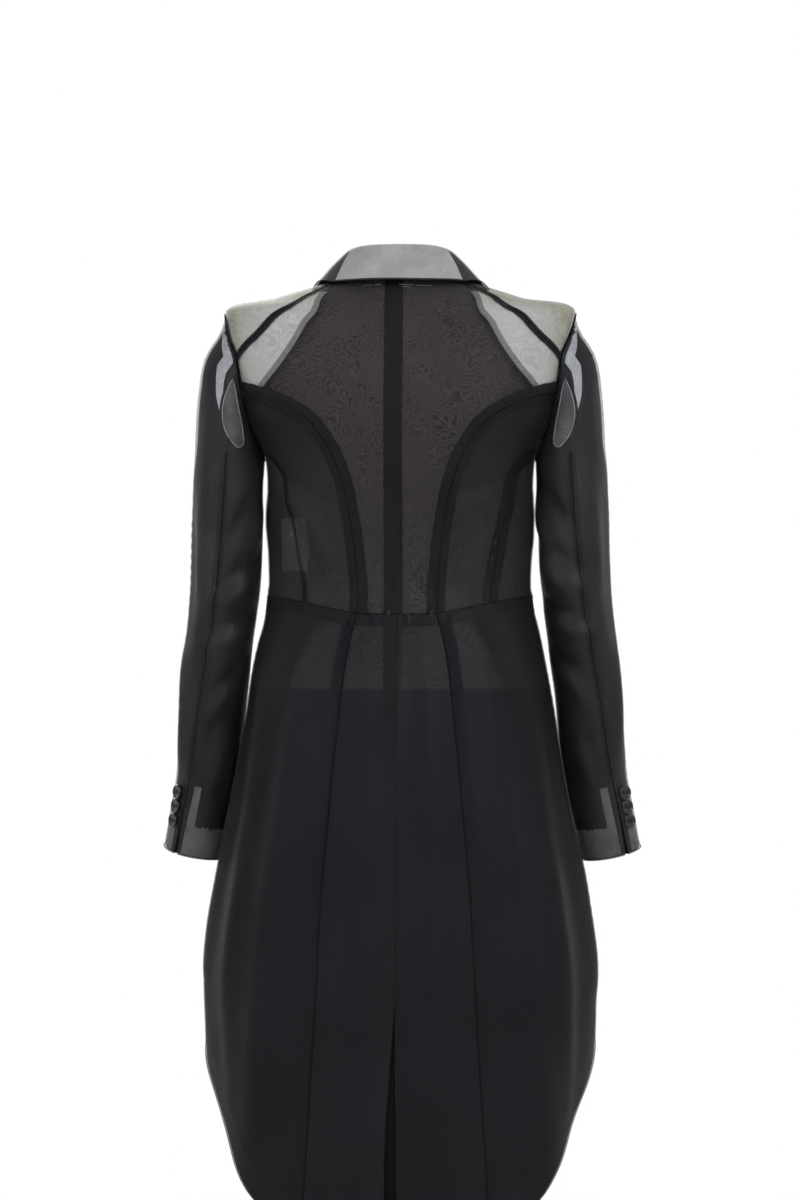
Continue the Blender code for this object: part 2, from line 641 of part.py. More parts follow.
def centre_back(step=0.027):
    """The centre-back seam from the waist up to the neck."""
    levels = np.linspace(WAIST_LEVEL, NECK_LEVEL, int(round((NECK_LEVEL - WAIST_LEVEL) / step)))
    return np.column_stack([np.full(len(levels), math.pi / 2), levels])


def back_panel(side):
    shoulder_top = SHOULDER[0]
    upper = armhole_part(SHOULDER_PLACE, PRINCESS_PLACE)
    waist = waist_curve(math.degrees(PRINCESS[-1, 0]), 90)
    outline = join(waist, centre_back(), neck_curve(math.pi / 2, shoulder_top[0]), SHOULDER, upper,
                   PRINCESS)
    return body_wall(f"back_{side_name(side)}", outline, side)


def side_back_panel(side):
    lower = armhole_part(PRINCESS_PLACE, SIDE_PLACE)
    waist = waist_curve(math.degrees(SIDE[-1, 0]), math.degrees(PRINCESS[-1, 0]))
    outline = join(waist, PRINCESS[::-1], lower, SIDE)
    return body_wall(f"side_back_{side_name(side)}", outline, side)


def underlap(uv):
    """How far the right front and its skirt step inwards near the centre front."""
    x = body_point(uv)[:, 0]
    near = ease((0.075 - x) / 0.045) * (uv[:, 0] < 0)
    low = ease((uv[:, 1] + 0.62) / 0.10) * ease((-0.08 - uv[:, 1]) / 0.10)
    return -UNDERLAP_TUCK * near * low


def break_point():
    return locate_past_centre(FRONT_EDGE_X, BREAK_Z)


def locate_past_centre(x, z):
    """(angle, level) of a front point a little beyond the centre front."""
    depth = read_ring(z)[0, 5]
    return np.array([-math.pi / 2 + math.atan(x / depth), z])


def roll_line(step=0.022):
    """The roll line from the break up to the neck, straight as seen from the front."""
    count = int(round((ROLL_TOP[1] - BREAK_Z) / step)) + 1
    line = [break_point()]
    for share in np.linspace(0, 1, count)[1:-1]:
        x = FRONT_EDGE_X + share * (ROLL_TOP[0] - FRONT_EDGE_X)
        z = BREAK_Z + share * (ROLL_TOP[1] - BREAK_Z)
        line.append(locate_past_centre(x, z) if x < 0.012 else locate(x, z, True))
    line.append(ROLL_START)
    return np.array(line)


def front_panel(side):
    hole = armhole_part(SIDE_PLACE, ROUND + SHOULDER_PLACE)
    waist = waist_curve(math.degrees(break_point()[0]), math.degrees(SIDE[-1, 0]))
    neck = neck_curve(SHOULDER[0, 0], -math.radians(50))
    outline = join(waist, SIDE[::-1], hole, SHOULDER[::-1], neck, roll_line()[::-1])
    lift = underlap if side < 0 else None
    return body_wall(f"front_{side_name(side)}", outline, side, lift)


def lapel(side):
    """The lapel, lying on the front and turned back from the roll line."""
    edge = [locate_past_centre(*LAPEL_EDGE[0])] + [locate(x, z, True) for x, z in LAPEL_EDGE[1:]]
    edge = curve_through(edge, 0.020)
    notch = locate(*LAPEL_NOTCH, front=True)
    gorge = locate(*LAPEL_GORGE_END, front=True)
    inner = roll_line()
    inner = inner[inner[:, 1] < gorge[1] - 0.012]
    outline = join(inner[:1], edge[1:], [notch], [gorge], inner[::-1])

    def lift(uv):
        x, _, z = body_point(uv).T
        share = (z - BREAK_Z) / (ROLL_TOP[1] - BREAK_Z)
        beside = x - FRONT_EDGE_X - share * (ROLL_TOP[0] - FRONT_EDGE_X)
        away = LAPEL_LIFT + LAPEL_LIFT_ABOVE * ease((uv[:, 1] + 0.20) / 0.10)
        away = LAPEL_ROLL_LIFT + (away - LAPEL_ROLL_LIFT) * ease((beside - 0.002) / 0.022)
        return away + WALL + (underlap(uv) if side < 0 else 0.0)

    outline = outline[::-1] if polygon_area(outline) < 0 else outline
    return body_wall(f"lapel_{side_name(side)}", outline, side, lift, LAPEL_MESH, gap=0.0010)


def polygon_area(outline):
    x, y = outline[:, 0], outline[:, 1]
    return 0.5 * (x * np.roll(y, -1) - np.roll(x, -1) * y).sum()


# ---- the collar ------------------------------------------------------------------------------

read_collar = smooth_table([(math.radians(row[0]),) + row[1:] for row in COLLAR])
COLLAR_END = math.radians(COLLAR[-1][0])
STAND_STEPS = 3
FALL_STEPS = 4


def height_of_body(x, y):
    """Height of the shoulder's surface over the plan point (x, y)."""
    found, _ = solve(body_point, (math.atan2(y, x), 0.05), (x, y), [0, 1], 0.05)
    return body_point(found[None])[0, 2]


def collar_section(angle):
    """Points of the collar's face from the neck seam over the roll line to the fall's edge."""
    roll_x, roll_y, roll_z, fall_x, fall_y, fall_z = read_collar(angle)[0]
    seam = body_point(np.array([[angle, NECK_LEVEL]]))[0] + (0, 0, 0.0006)
    roll = np.array([roll_x, roll_y, roll_z - COLLAR_FOLD])
    fall = np.array([fall_x, fall_y, max(fall_z, height_of_body(fall_x, fall_y) + COLLAR_CLEAR)])
    stand = [seam + (roll - seam) * t for t in np.linspace(0, 1, STAND_STEPS + 1)[:-1]]
    flat = (fall - roll) * [1, 1, 0]
    flat /= np.linalg.norm(flat)
    turn = []
    for degrees in (0, 45, 90, 135):
        bend = math.radians(degrees)
        up = np.array([0, 0, math.sin(bend)])
        turn.append(roll + COLLAR_FOLD * (flat * (1 - math.cos(bend)) + up))
    crown = turn[-1]
    leaf = []
    for t in np.linspace(0, 1, FALL_STEPS + 1)[1:]:
        rise = np.array([0, 0, 0.0030 * math.sin(math.pi * t)])
        leaf.append(crown + (fall - crown) * t + rise)
    return np.array(stand + turn + leaf)


def strip_solid(name, sections, inward, look):
    """A closed wall from rows of points and the rows of the other face."""
    rows, columns = sections.shape[:2]
    outer = sections.reshape(-1, 3)
    inner = inward.reshape(-1, 3)
    count = rows * columns
    faces = []
    for i in range(rows - 1):
        for j in range(columns - 1):
            a, b = i * columns + j, i * columns + j + 1
            c, d = b + columns, a + columns
            faces += [(a, b, c), (a, c, d), (c + count, b + count, a + count),
                      (d + count, c + count, a + count)]
    for i in range(rows - 1):
        for j in (0, columns - 1):
            a, b = i * columns + j, (i + 1) * columns + j
            quad = (a, b, b + count, a + count)
            quad = quad if j == 0 else quad[::-1]
            faces += [quad[:3], (quad[0], quad[2], quad[3])]
    for j in range(columns - 1):
        for i in (0, rows - 1):
            a, b = i * columns + j, i * columns + j + 1
            quad = (b, a, a + count, b + count)
            quad = quad if i == 0 else quad[::-1]
            faces += [quad[:3], (quad[0], quad[2], quad[3])]
    return add_object(name, np.vstack([outer, inner]), faces, look)


def grid_normals(rows):
    """Unit normals of a grid of points."""
    across = np.gradient(rows, axis=1)
    along = np.gradient(rows, axis=0)
    normal = np.cross(across, along)
    return normal / np.linalg.norm(normal, axis=2, keepdims=True)


def collar_rows(stations=31):
    """Sections of the whole collar from the left gorge round the back to the right one."""
    half = [collar_section(angle) for angle in np.linspace(COLLAR_END, math.pi / 2, stations // 2 + 1)]
    other = [section * [-1, 1, 1] for section in half[-2::-1]]
    return np.array(half + other)


def collar():
    rows = collar_rows()
    normal = grid_normals(rows)
    return strip_solid("collar", rows, rows - normal * COLLAR_WALL * facing(rows, normal), ORGANZA)


def facing(rows, normal):
    """1 where normals of the fall point away from the neck's middle, else -1."""
    fall = rows[len(rows) // 2, -2]
    return 1.0 if normal[len(rows) // 2, -2] @ (fall - [0, 0, fall[2] - 0.02]) > 0 else -1.0


def collar_interfacing():
    """The light stiffener inside the fall, between its two bounds across the back."""
    rows = collar_rows(61)
    normal = grid_normals(rows)
    side = facing(rows, normal)
    inner = rows - normal * side * (COLLAR_WALL + 2 * SEAM)
    keep = [i for i, row in enumerate(rows) if abs(row[-1, 0]) < 0.0760 and row[-1, 1] > 0]
    first = STAND_STEPS + 3
    patch = inner[keep][::2, first:]
    direction = (normal * side)[keep][::2, first:]
    return strip_solid("collar_interfacing", patch, patch - direction * 0.0010, INTERFACING)


# ---- the skirt -------------------------------------------------------------------------------


def vent_edge(side):
    """The centre-back edge of a skirt back, from the hem up to the waist."""
    levels = np.linspace(read_skirt_edge(90)[0, 0], WAIST_LEVEL, 24)
    column = 0 if side > 0 else 1
    x = read_vent(levels)[:, column]
    return np.column_stack([math.pi / 2 - np.arctan(x / read_ring(levels)[:, 4]), levels])


def skirt_back(side):
    edge = vent_edge(side)
    hem = skirt_edge_curve(math.degrees(PLEAT[-1, 0]), math.degrees(edge[0, 0]))
    waist = waist_curve(90, math.degrees(PLEAT[0, 0]))
    outline = join(hem, edge, waist, PLEAT)
    return body_wall(f"skirt_back_{side_name(side)}", outline, side, None, SKIRT_MESH)


def pleat_drop(uv):
    """How far a skirt side steps in under the skirt back's folded edge."""
    fold = np.interp(-uv[:, 1], -PLEAT[:, 1], PLEAT[:, 0])
    near = ease((uv[:, 0] - fold + 0.10) / 0.07)
    return -0.0038 * near * ease((-0.390 - uv[:, 1]) / 0.025)


def skirt_side(side):
    """The skirt's side from its tucked pleat edge round to the cutaway front edge."""
    tuck = 0.016 * ease((-0.425 - PLEAT[:, 1]) / 0.09) / BODY_RADIUS
    hidden = PLEAT + np.column_stack([tuck, np.zeros(len(PLEAT))])
    hidden[-1, 1] = read_skirt_edge(math.degrees(hidden[-1, 0]))[0, 0]
    front = math.degrees(locate_past_centre(FRONT_EDGE_X, -0.392)[0])
    hem = skirt_edge_curve(front, math.degrees(hidden[-1, 0]))
    waist = waist_curve(math.degrees(PLEAT[0, 0]), front)
    outline = join(hem, hidden[::-1], waist)

    def lift(uv):
        return pleat_drop(uv) + (underlap(uv) if side < 0 else 0)

    return body_wall(f"skirt_side_{side_name(side)}", outline, side, lift, SKIRT_MESH)


# ---- the sleeves -----------------------------------------------------------------------------


def sleeve_centre(level):
    ring = read_sleeve(level)
    return np.column_stack([(ring[:, 0] + ring[:, 1]) / 2, ring[:, 2], level])


def sleeve_ring_point(angle, level):
    """A point of the sleeve's own tube, whose rings stand square to its centre line."""
    ring = read_sleeve(level)
    centre = sleeve_centre(level)
    slope = (sleeve_centre(level + 0.01) - sleeve_centre(level - 0.01)) / 0.02
    half_width = (ring[:, 1] - ring[:, 0]) / 2
    dx, dy = half_width * np.cos(angle), ring[:, 3] * np.sin(angle)
    square = ease((-0.20 - level) / 0.15)
    dz = -(slope[:, 0] * dx + slope[:, 1] * dy) * square
    return centre + np.column_stack([dx, dy, dz])


def sleeve_point(uv):
    """Points of the left sleeve at (angle, level). The angle is 0 outside and 90 degrees behind."""
    angle, level = uv[:, 0], uv[:, 1]
    seam = body_point(armhole_at(np.degrees(angle)))
    drop = seam[:, 2] - level
    tube = sleeve_ring_point(angle, np.minimum(level, -0.010))
    leave = np.clip(drop / HEAD_BLEND, 0, 1)
    share = (leave * (2 - leave))[:, None]
    beside = SEAM * underarm(np.mod(np.degrees(angle), 360))
    start = seam + np.column_stack([beside, np.zeros(len(level)), -drop])
    return start * (1 - share) + tube * share


def sleeve_top(degrees):
    """The sleeve's upper edge at the armhole, at angles in degrees."""
    degrees = np.atleast_1d(np.asarray(degrees, float))
    return np.column_stack([np.radians(degrees), body_point(armhole_at(degrees))[:, 2]])


def head_knots(start, end):
    """Upper edge points between two angles, at the points that the armhole shares."""
    knots = sleeve_degrees(KNOTS)
    knots = np.sort(np.concatenate([knots, knots + 360, [start, end]]))
    chosen = np.unique(np.round(knots[(knots >= start) & (knots <= end)], 6))
    keep = [chosen[0]]
    for value in chosen[1:]:
        if value - keep[-1] > 1.5 or value == chosen[-1]:
            keep.append(value)
    return sleeve_top(keep)


def long_seam(read, top_degrees, widen=None, turn=0.0, count=24):
    """A sleeve seam from the armhole down to the cuff."""
    top = sleeve_top(top_degrees)[0, 1]
    levels = np.linspace(top, CUFF_LEVEL, count)
    degrees = read(levels)[:, 0]
    degrees[0] = top_degrees
    if widen is not None:
        degrees = degrees + widen * read_vent_gap(levels)[:, 0]
    return np.column_stack([np.radians(degrees + turn), levels])


def cuff_curve(start, end, step=0.016):
    count = int(round(abs(end - start) * math.pi / 180 * SLEEVE_RADIUS / step)) + 1
    degrees = np.linspace(start, end, count)
    return np.column_stack([np.radians(degrees), np.full(count, CUFF_LEVEL)])


def sleeve_wall(name, outline, side, lift=None, thick=WALL, look=ORGANZA, spacing=SLEEVE_MESH,
                gap=SEAM / 2):
    outline = np.asarray(outline)
    found = []
    for angle, level in outline:
        degrees = math.degrees(angle) % 360
        top = sleeve_top(degrees)[0, 1]
        if lift is None and abs(level - top) < 1e-6 and underarm(degrees) < 0.5:
            found.append(seam_way(np.array([degrees]))[0])
        else:
            found.append(None)
    return wall(name, sleeve_point, outline, side, look, spacing, SLEEVE_RADIUS, lift, thick,
                found, gap)


BACK_TOP_DEGREES = float(sleeve_degrees(np.array([PRINCESS_PLACE]))[0])
FRONT_TOP_DEGREES = 246.0


def under_sleeve(side):
    back = long_seam(read_back_seam, BACK_TOP_DEGREES, 1.0)
    front = long_seam(read_front_seam, FRONT_TOP_DEGREES)
    cuff = cuff_curve(math.degrees(back[-1, 0]), math.degrees(front[-1, 0]))
    top = head_knots(BACK_TOP_DEGREES, FRONT_TOP_DEGREES)
    outline = join(cuff, front[::-1], top[::-1], back)
    return sleeve_wall(f"sleeve_under_{side_name(side)}", outline, side)


def top_sleeve(side):
    back = long_seam(read_back_seam, BACK_TOP_DEGREES, -0.4, 360)
    front = long_seam(read_front_seam, FRONT_TOP_DEGREES)
    back[0, 0] = math.radians(BACK_TOP_DEGREES + 360)
    cuff = cuff_curve(math.degrees(front[-1, 0]), math.degrees(back[-1, 0]))
    top = head_knots(FRONT_TOP_DEGREES, BACK_TOP_DEGREES + 360)
    outline = join(cuff, back[::-1], top[::-1], front)
    return sleeve_wall(f"sleeve_top_{side_name(side)}", outline, side)


# ---- pieces that show through the cloth -------------------------------------------------------


def pad_thickness(uv):
    x = np.abs(body_point(uv)[:, 0])
    return PAD_EDGE + (PAD_FULL - PAD_EDGE) * ease((x - 0.085) / 0.105)


def shoulder_pad(side):
    inside_back = located(PAD_INSIDE_BACK, 0.018)
    inside_front = located(PAD_INSIDE_FRONT, 0.018, True)
    bottom_back, bottom_front = locate(*PAD_BOTTOM_BACK), locate(*PAD_BOTTOM_FRONT, front=True)
    start = armhole_place(*PAD_BOTTOM_BACK) - 0.004
    hole = armhole_part(0.0, start)
    front_hole = armhole_part(ROUND - 0.060, ROUND)
    outline = join(hole[::-1], front_hole[::-1][1:], [bottom_front], inside_front[::-1], inside_back,
                   [bottom_back])
    outline = outline[::-1] if polygon_area(outline) < 0 else outline

    def lift(uv):
        return np.full(len(uv), -UNDER_CLOTH)

    return wall(f"shoulder_pad_{side_name(side)}", body_point, outline, side, PADDING, PAD_MESH,
                BODY_RADIUS, lift, pad_thickness, None, PAD_CLEAR, PAD_UPRIGHT)


def sleeve_inlay(name, side, outline, look, depth, thick):
    """A piece that lies inside the sleeve head."""
    outline = outline[::-1] if polygon_area(outline) < 0 else outline

    def lift(uv):
        return np.full(len(uv), -depth)

    return sleeve_wall(name, outline, side, lift, thick, look, BAND_MESH, 0.0)


def sleeve_canvas(side):
    outline = np.array([locate_on_sleeve(x, z) for x, z in CANVAS_OUTLINE])
    sleeve_inlay(f"sleeve_canvas_{side_name(side)}", side, outline, CANVAS, DEEP_UNDER_CLOTH, 0.0012)


def sleeve_wadding(side):
    """The strip that rounds the sleeve head, from the front over the top and down to its tip."""
    near = sleeve_top(np.linspace(-70, 62, 12)) - [0, WADDING_NEAR]
    far = sleeve_top(np.linspace(-70, 44, 11)) - [0, WADDING_FAR]
    tail = np.array([locate_on_sleeve(x, z) for x, z in WADDING_TAIL])
    outline = join(far, tail, near[::-1])
    sleeve_inlay(f"sleeve_wadding_{side_name(side)}", side, outline, WADDING, WADDING_DEPTH, 0.0020)


def care_label():
    """A plain sewn-in label inside the left side seam."""
    half = np.array(LABEL_SIZE) / 2
    x, z = LABEL_PLACE
    corners = [(x - half[0], z - half[1]), (x + half[0], z - half[1]), (x + half[0], z + half[1]),
               (x - half[0], z + half[1])]
    outline = np.array([locate(*corner) for corner in corners])
    outline = outline[::-1] if polygon_area(outline) < 0 else outline

    def lift(uv):
        return np.full(len(uv), -JUST_UNDER_CLOTH)

    return body_wall("care_label", outline, 1, lift, (0.012, 0.020), 0.0010, LABEL, 0.0)


def cuff_interfacing(side):
    """The light band inside the cuff, with its upright arm along the vent."""
    start, end = 66.0, 402.0
    lower = [(math.radians(a), CUFF_LEVEL + 0.003) for a in np.linspace(start, end, 20)]
    upper = [(math.radians(a), CUFF_LEVEL + 0.036) for a in np.linspace(end, 84, 18)]
    arm = [(math.radians(84), -0.585), (math.radians(70), -0.585)]
    outline = join(lower, upper, arm)

    def lift(uv):
        return np.full(len(uv), -JUST_UNDER_CLOTH)

    return sleeve_wall(f"cuff_interfacing_{side_name(side)}", outline, side, lift, 0.0010, INTERFACING,
                       BAND_MESH, 0.0)


# ---- buttons ---------------------------------------------------------------------------------


# A dished button's profile, in radii: distance from its axis and height, back to front.
BUTTON_PROFILE = ((0.0, 0.0), (0.72, 0.0), (0.95, 0.08), (1.0, 0.20), (0.96, 0.34), (0.84, 0.38),
                  (0.70, 0.27), (0.0, 0.22))


def button(name, radius, place, normal, segments=14):
    """A turned button whose back rests just off the cloth at place."""
    normal = normal / np.linalg.norm(normal)
    across = np.cross(normal, [0, 0, 1])
    across /= np.linalg.norm(across)
    upright = np.cross(normal, across)
    points = [place]
    for share, height in BUTTON_PROFILE[1:-1]:
        for i in range(segments):
            turn = 2 * math.pi * i / segments
            flat = across * math.cos(turn) + upright * math.sin(turn)
            points.append(place + flat * share * radius + normal * height * radius)
    points.append(place + normal * BUTTON_PROFILE[-1][1] * radius)
    faces = []
    last = len(points) - 1
    rings = len(BUTTON_PROFILE) - 2
    for i in range(segments):
        j = (i + 1) % segments
        faces.append((0, 1 + j, 1 + i))
        for ring in range(rings - 1):
            a, b = 1 + ring * segments + i, 1 + ring * segments + j
            faces += [(a, b, b + segments), (a, b + segments, a + segments)]
        top = 1 + (rings - 1) * segments
        faces.append((top + i, top + j, last))
    return add_object(name, np.array(points), faces, BUTTON)


def seat(carrier, place, normal):
    """Where a line along normal through place enters the carrier's solid, and that face's normal."""
    mesh = bpy.data.objects[carrier].data
    tree = BVHTree.FromPolygons([v.co for v in mesh.vertices], [f.vertices for f in mesh.polygons])
    spot, face_normal, _, _ = tree.ray_cast(tuple(place + normal * 0.01), tuple(-normal))
    return np.array(spot), np.array(face_normal)


def cuff_buttons(side):
    for number, level in enumerate(CUFF_BUTTON_LEVELS, 1):
        uv = np.array([[math.radians(CUFF_BUTTON_DEGREES), level]])
        normal = normals(sleeve_point, uv)[0] * [side, 1, 1]
        spot, _ = seat(f"sleeve_top_{side_name(side)}", sleeve_point(uv)[0] * [side, 1, 1], normal)
        button(f"cuff_button_{side_name(side)}_{number}", CUFF_BUTTON_RADIUS,
               spot + normal * CUFF_BUTTON_CLEAR, normal)


def waist_button():
    uv = np.array([[-math.pi / 2, WAIST_BUTTON_Z]])
    normal = normals(body_point, uv)[0]
    spot, face_normal = seat("front_left", body_point(uv)[0], normal)
    button("waist_button", WAIST_BUTTON_RADIUS, spot + face_normal * 0.0004, face_normal)


def main():
    for old in list(bpy.data.objects):
        bpy.data.objects.remove(old, do_unlink=True)
    for side in (1, -1):
        back_panel(side)
        side_back_panel(side)
        front_panel(side)
        lapel(side)
        skirt_back(side)
        skirt_side(side)
        top_sleeve(side)
        under_sleeve(side)
        shoulder_pad(side)
        sleeve_canvas(side)
        sleeve_wadding(side)
        cuff_interfacing(side)
        cuff_buttons(side)
    collar()
    collar_interfacing()
    care_label()
    waist_button()


main()
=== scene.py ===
"""Looks of the longline tail-skirted blazer: sheer organza with what shows through it.

Metres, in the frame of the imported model: +Z up, the front faces -Y, the wearer's left is +X. The
cloth's surfaces are the ones that the solids were built on. Each panel gets an outer layer of
organza and a dark under layer, with the pads, canvas, wadding and interfacing between the two.
"""
import math

import bpy
import numpy as np
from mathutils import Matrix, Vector
from mathutils.geometry import delaunay_2d_cdt


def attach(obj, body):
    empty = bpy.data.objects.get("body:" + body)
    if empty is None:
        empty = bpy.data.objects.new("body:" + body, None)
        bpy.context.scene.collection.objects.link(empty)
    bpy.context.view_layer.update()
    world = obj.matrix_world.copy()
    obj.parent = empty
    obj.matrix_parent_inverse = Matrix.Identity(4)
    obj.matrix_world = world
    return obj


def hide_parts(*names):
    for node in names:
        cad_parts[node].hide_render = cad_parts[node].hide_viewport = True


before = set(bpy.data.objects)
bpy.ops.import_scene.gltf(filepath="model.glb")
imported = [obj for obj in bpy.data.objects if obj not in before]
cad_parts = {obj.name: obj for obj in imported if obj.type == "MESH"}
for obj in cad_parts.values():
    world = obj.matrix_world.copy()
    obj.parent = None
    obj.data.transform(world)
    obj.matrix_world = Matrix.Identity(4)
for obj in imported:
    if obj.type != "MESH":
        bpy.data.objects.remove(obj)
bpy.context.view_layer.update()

STEP = 0.007  # spacing of the points along outlines
OUTER_MESH = 0.0075  # spacing of the points over an outer layer
FINE_MESH = 0.0045  # and over a small inlay
BODY_RADIUS = 0.16  # turns body angles into lengths when points are spread over a panel
SLEEVE_RADIUS = 0.045  # and the sleeve's angles

UNDER_DROP = 0.0012  # depth of the dark under layer below the outer one
PAD_DROP = 0.0022  # depth at which the shoulder pads lie
INLAY_DROP = 0.0010  # and the canvas, the wadding, the label and the interfacing
ALLOWANCE_DROP = 0.0005  # and the seam allowances
BEAD = 0.00055  # radius of the fine cords that stand for sewn edges
CORD_SIDES = 6

# Rings of the skirt and the waist, which lie level. A ring's outline is a superellipse of the given
# power.
# level, half_width, back, front, power
LEVEL_RINGS = (
    (-1.160, 0.2140, 0.172, 0.150, 2.20),
    (-1.000, 0.2200, 0.170, 0.150, 2.20),
    (-0.900, 0.2235, 0.166, 0.148, 2.20),
    (-0.815, 0.2265, 0.160, 0.146, 2.20),
    (-0.700, 0.2117, 0.152, 0.140, 2.20),
    (-0.606, 0.1940, 0.145, 0.134, 2.20),
    (-0.527, 0.1817, 0.137, 0.128, 2.20),
    (-0.459, 0.1723, 0.124, 0.122, 2.20),
    (-0.415, 0.1640, 0.110, 0.118, 2.25),
    (-0.379, 0.1572, 0.098, 0.115, 2.30),
    (-0.350, 0.1545, 0.092, 0.114, 2.30),
    (-0.300, 0.1560, 0.094, 0.118, 2.30),
    (-0.250, 0.1560, 0.101, 0.122, 2.35),
)
# Rings from the chest to the neck, whose height runs from z_side to z_back and z_front.
# level, z_back, z_side, z_front, half_width, back, front, power
RISING_RINGS = (
    (-0.205, -0.207, -0.205, -0.208, 0.1590, 0.106, 0.121, 2.45),
    (-0.150, -0.166, -0.147, -0.172, 0.1860, 0.106, 0.116, 2.55),
    (-0.095, -0.128, -0.085, -0.140, 0.2000, 0.101, 0.106, 2.50),
    (-0.045, -0.090, -0.034, -0.112, 0.2060, 0.090, 0.094, 2.40),
    (0.025, -0.040, -0.0150, -0.075, 0.1420, 0.074, 0.082, 2.20),
    (0.095, 0.010, 0.0050, -0.045, 0.0780, 0.055, 0.070, 2.00),
    (0.125, 0.032, 0.0136, -0.032, 0.0506, 0.047, 0.064, 2.00),
)
RINGS = tuple((level, level, level, level, *sizes) for level, *sizes in LEVEL_RINGS) + RISING_RINGS
SHOULDER_LEVEL = -0.045  # the ring through the shoulder tips
NECK_LEVEL = 0.095  # the ring of the neck seam
NECK_RADIUS = 0.066
ARMPIT_LEVEL = -0.207
WAIST_LEVEL = -0.387

# Soft flutes of the skirt, raised out of the body's rings below the waist.
# degrees, width in degrees, depth, level where it begins, level where it is full
FLUTES = (
    (78.0, 9.0, 0.0050, -0.46, -0.90),
    (52.0, 8.0, -0.0040, -0.42, -0.80),
    (36.0, 9.0, 0.0060, -0.42, -0.85),
    (17.0, 8.0, -0.0045, -0.44, -0.80),
    (-2.0, 9.0, 0.0055, -0.44, -0.80),
    (-24.0, 9.0, -0.0045, -0.44, -0.75),
    (-44.0, 9.0, 0.0040, -0.44, -0.70),
)

# Seams on the back, as (x, z) seen from behind, from the neck or the armhole downwards.
SHOULDER_SEAM = ((0.079, 0.000), (0.104, -0.012), (0.132, -0.031), (0.161, -0.058), (0.1900, -0.088))
PRINCESS_SEAM = (
    (0.1840, -0.1270), (0.1580, -0.1350), (0.1300, -0.1460), (0.1030, -0.1630), (0.0820, -0.1900),
    (0.0650, -0.2290), (0.0550, -0.2760), (0.0490, -0.3230), (0.0460, -0.3860),
)
SIDE_SEAM = ((0.1640, -0.1930), (0.1400, -0.2150), (0.1240, -0.2760), (0.1150, -0.3230), (0.1080, -0.3740))
ARMHOLE_BACK = (
    (0.1995, -0.0620), (0.1900, -0.0880), (0.1870, -0.1120), (0.1815, -0.1390), (0.1760, -0.1610),
    (0.1675, -0.1850),
)
ARMHOLE_FRONT = (
    (0.1960, -0.0620), (0.1840, -0.0880), (0.1740, -0.1150), (0.1680, -0.1400), (0.1650, -0.1650),
    (0.1640, -0.1860),
)
PLEAT_LINE = (
    (0.0460, -0.3860), (0.0560, -0.4250), (0.0650, -0.4900), (0.0760, -0.6000), (0.0860, -0.7200),
    (0.0920, -0.8400), (0.0980, -0.9350), (0.1050, -1.0500), (0.1080, -1.0970),
)

# The waist seam's height round the body, and the edge of the skirt: hem, rounded corner, cutaway.
WAIST_LINE = (
    (-100, -0.388), (-90, -0.388), (-45, -0.376), (0, -0.366), (25, -0.369), (45, -0.378),
    (60, -0.384), (90, -0.387),
)
SKIRT_EDGE = (
    (-99, -0.396), (-94, -0.412), (-88, -0.440), (-78, -0.490), (-65, -0.552), (-45, -0.655),
    (-25, -0.770), (-8, -0.865), (2, -0.910), (12, -0.950), (22, -0.992), (30, -1.028), (38, -1.058),
    (47, -1.080), (57, -1.092), (70, -1.097), (90, -1.098),
)
# The vent's edges: level, x of the left one, x of the right one (towards the wearer's right)
VENT = ((-0.400, 0.0, 0.0), (-0.800, 0.0, 0.0), (-0.900, 0.0060, 0.0004), (-1.000, 0.0120, 0.0014),
        (-1.110, 0.0130, 0.0022))
VENT_ROWS = 110

PLEAT_TUCK = 0.0038  # how far the skirt's side steps in under its back's fold

FRONT_EDGE_X = -0.018  # the left front's edge, past the centre front
BREAK_Z = -0.360  # where the lapel's roll line meets the front edge
ROLL_TOP = (0.0470, -0.0250)  # (x, z) of the roll line at the neck
LAPEL_EDGE = (
    (-0.0175, -0.3560), (0.0100, -0.3250), (0.0450, -0.2700), (0.0800, -0.2000), (0.1080, -0.1300),
    (0.1180, -0.0900),
)
LAPEL_NOTCH = (0.0880, -0.0540)
LAPEL_GORGE_END = (0.0520, -0.0380)
LAPEL_LIFT = 0.0022  # height of the lapel's underside over the front
LAPEL_LIFT_ABOVE = 0.0020  # added near the shoulder
LAPEL_ROLL_LIFT = 0.0004  # its height at the roll line
UNDERLAP_TUCK = 0.0064  # how far the right front lies inside the left one at the centre front

# Collar sections from the centre back round to the gorge.
# degrees, roll line's x, y, z, fall edge's x, y and lowest z
COLLAR = (
    (90, 0.0000, 0.0500, 0.0440, 0.0000, 0.0720, 0.0010),
    (68, 0.0230, 0.0465, 0.0440, 0.0310, 0.0680, 0.0010),
    (45, 0.0430, 0.0350, 0.0430, 0.0600, 0.0560, 0.0010),
    (22, 0.0560, 0.0180, 0.0390, 0.0850, 0.0300, 0.0010),
    (0, 0.0620, -0.0020, 0.0300, 0.0970, -0.0030, -0.0010),
    (-22, 0.0620, -0.0230, 0.0150, 0.1060, -0.0330, -0.0130),
    (-38, 0.0585, -0.0400, 0.0010, 0.1120, -0.0590, -0.0330),
    (-50, 0.0540, -0.0530, -0.0100, 0.1150, -0.0760, -0.0560),
)
COLLAR_FOLD = 0.0032  # radius of the fold between stand and fall
COLLAR_CLEAR = 0.0046  # height of the fall's edge over the shoulder

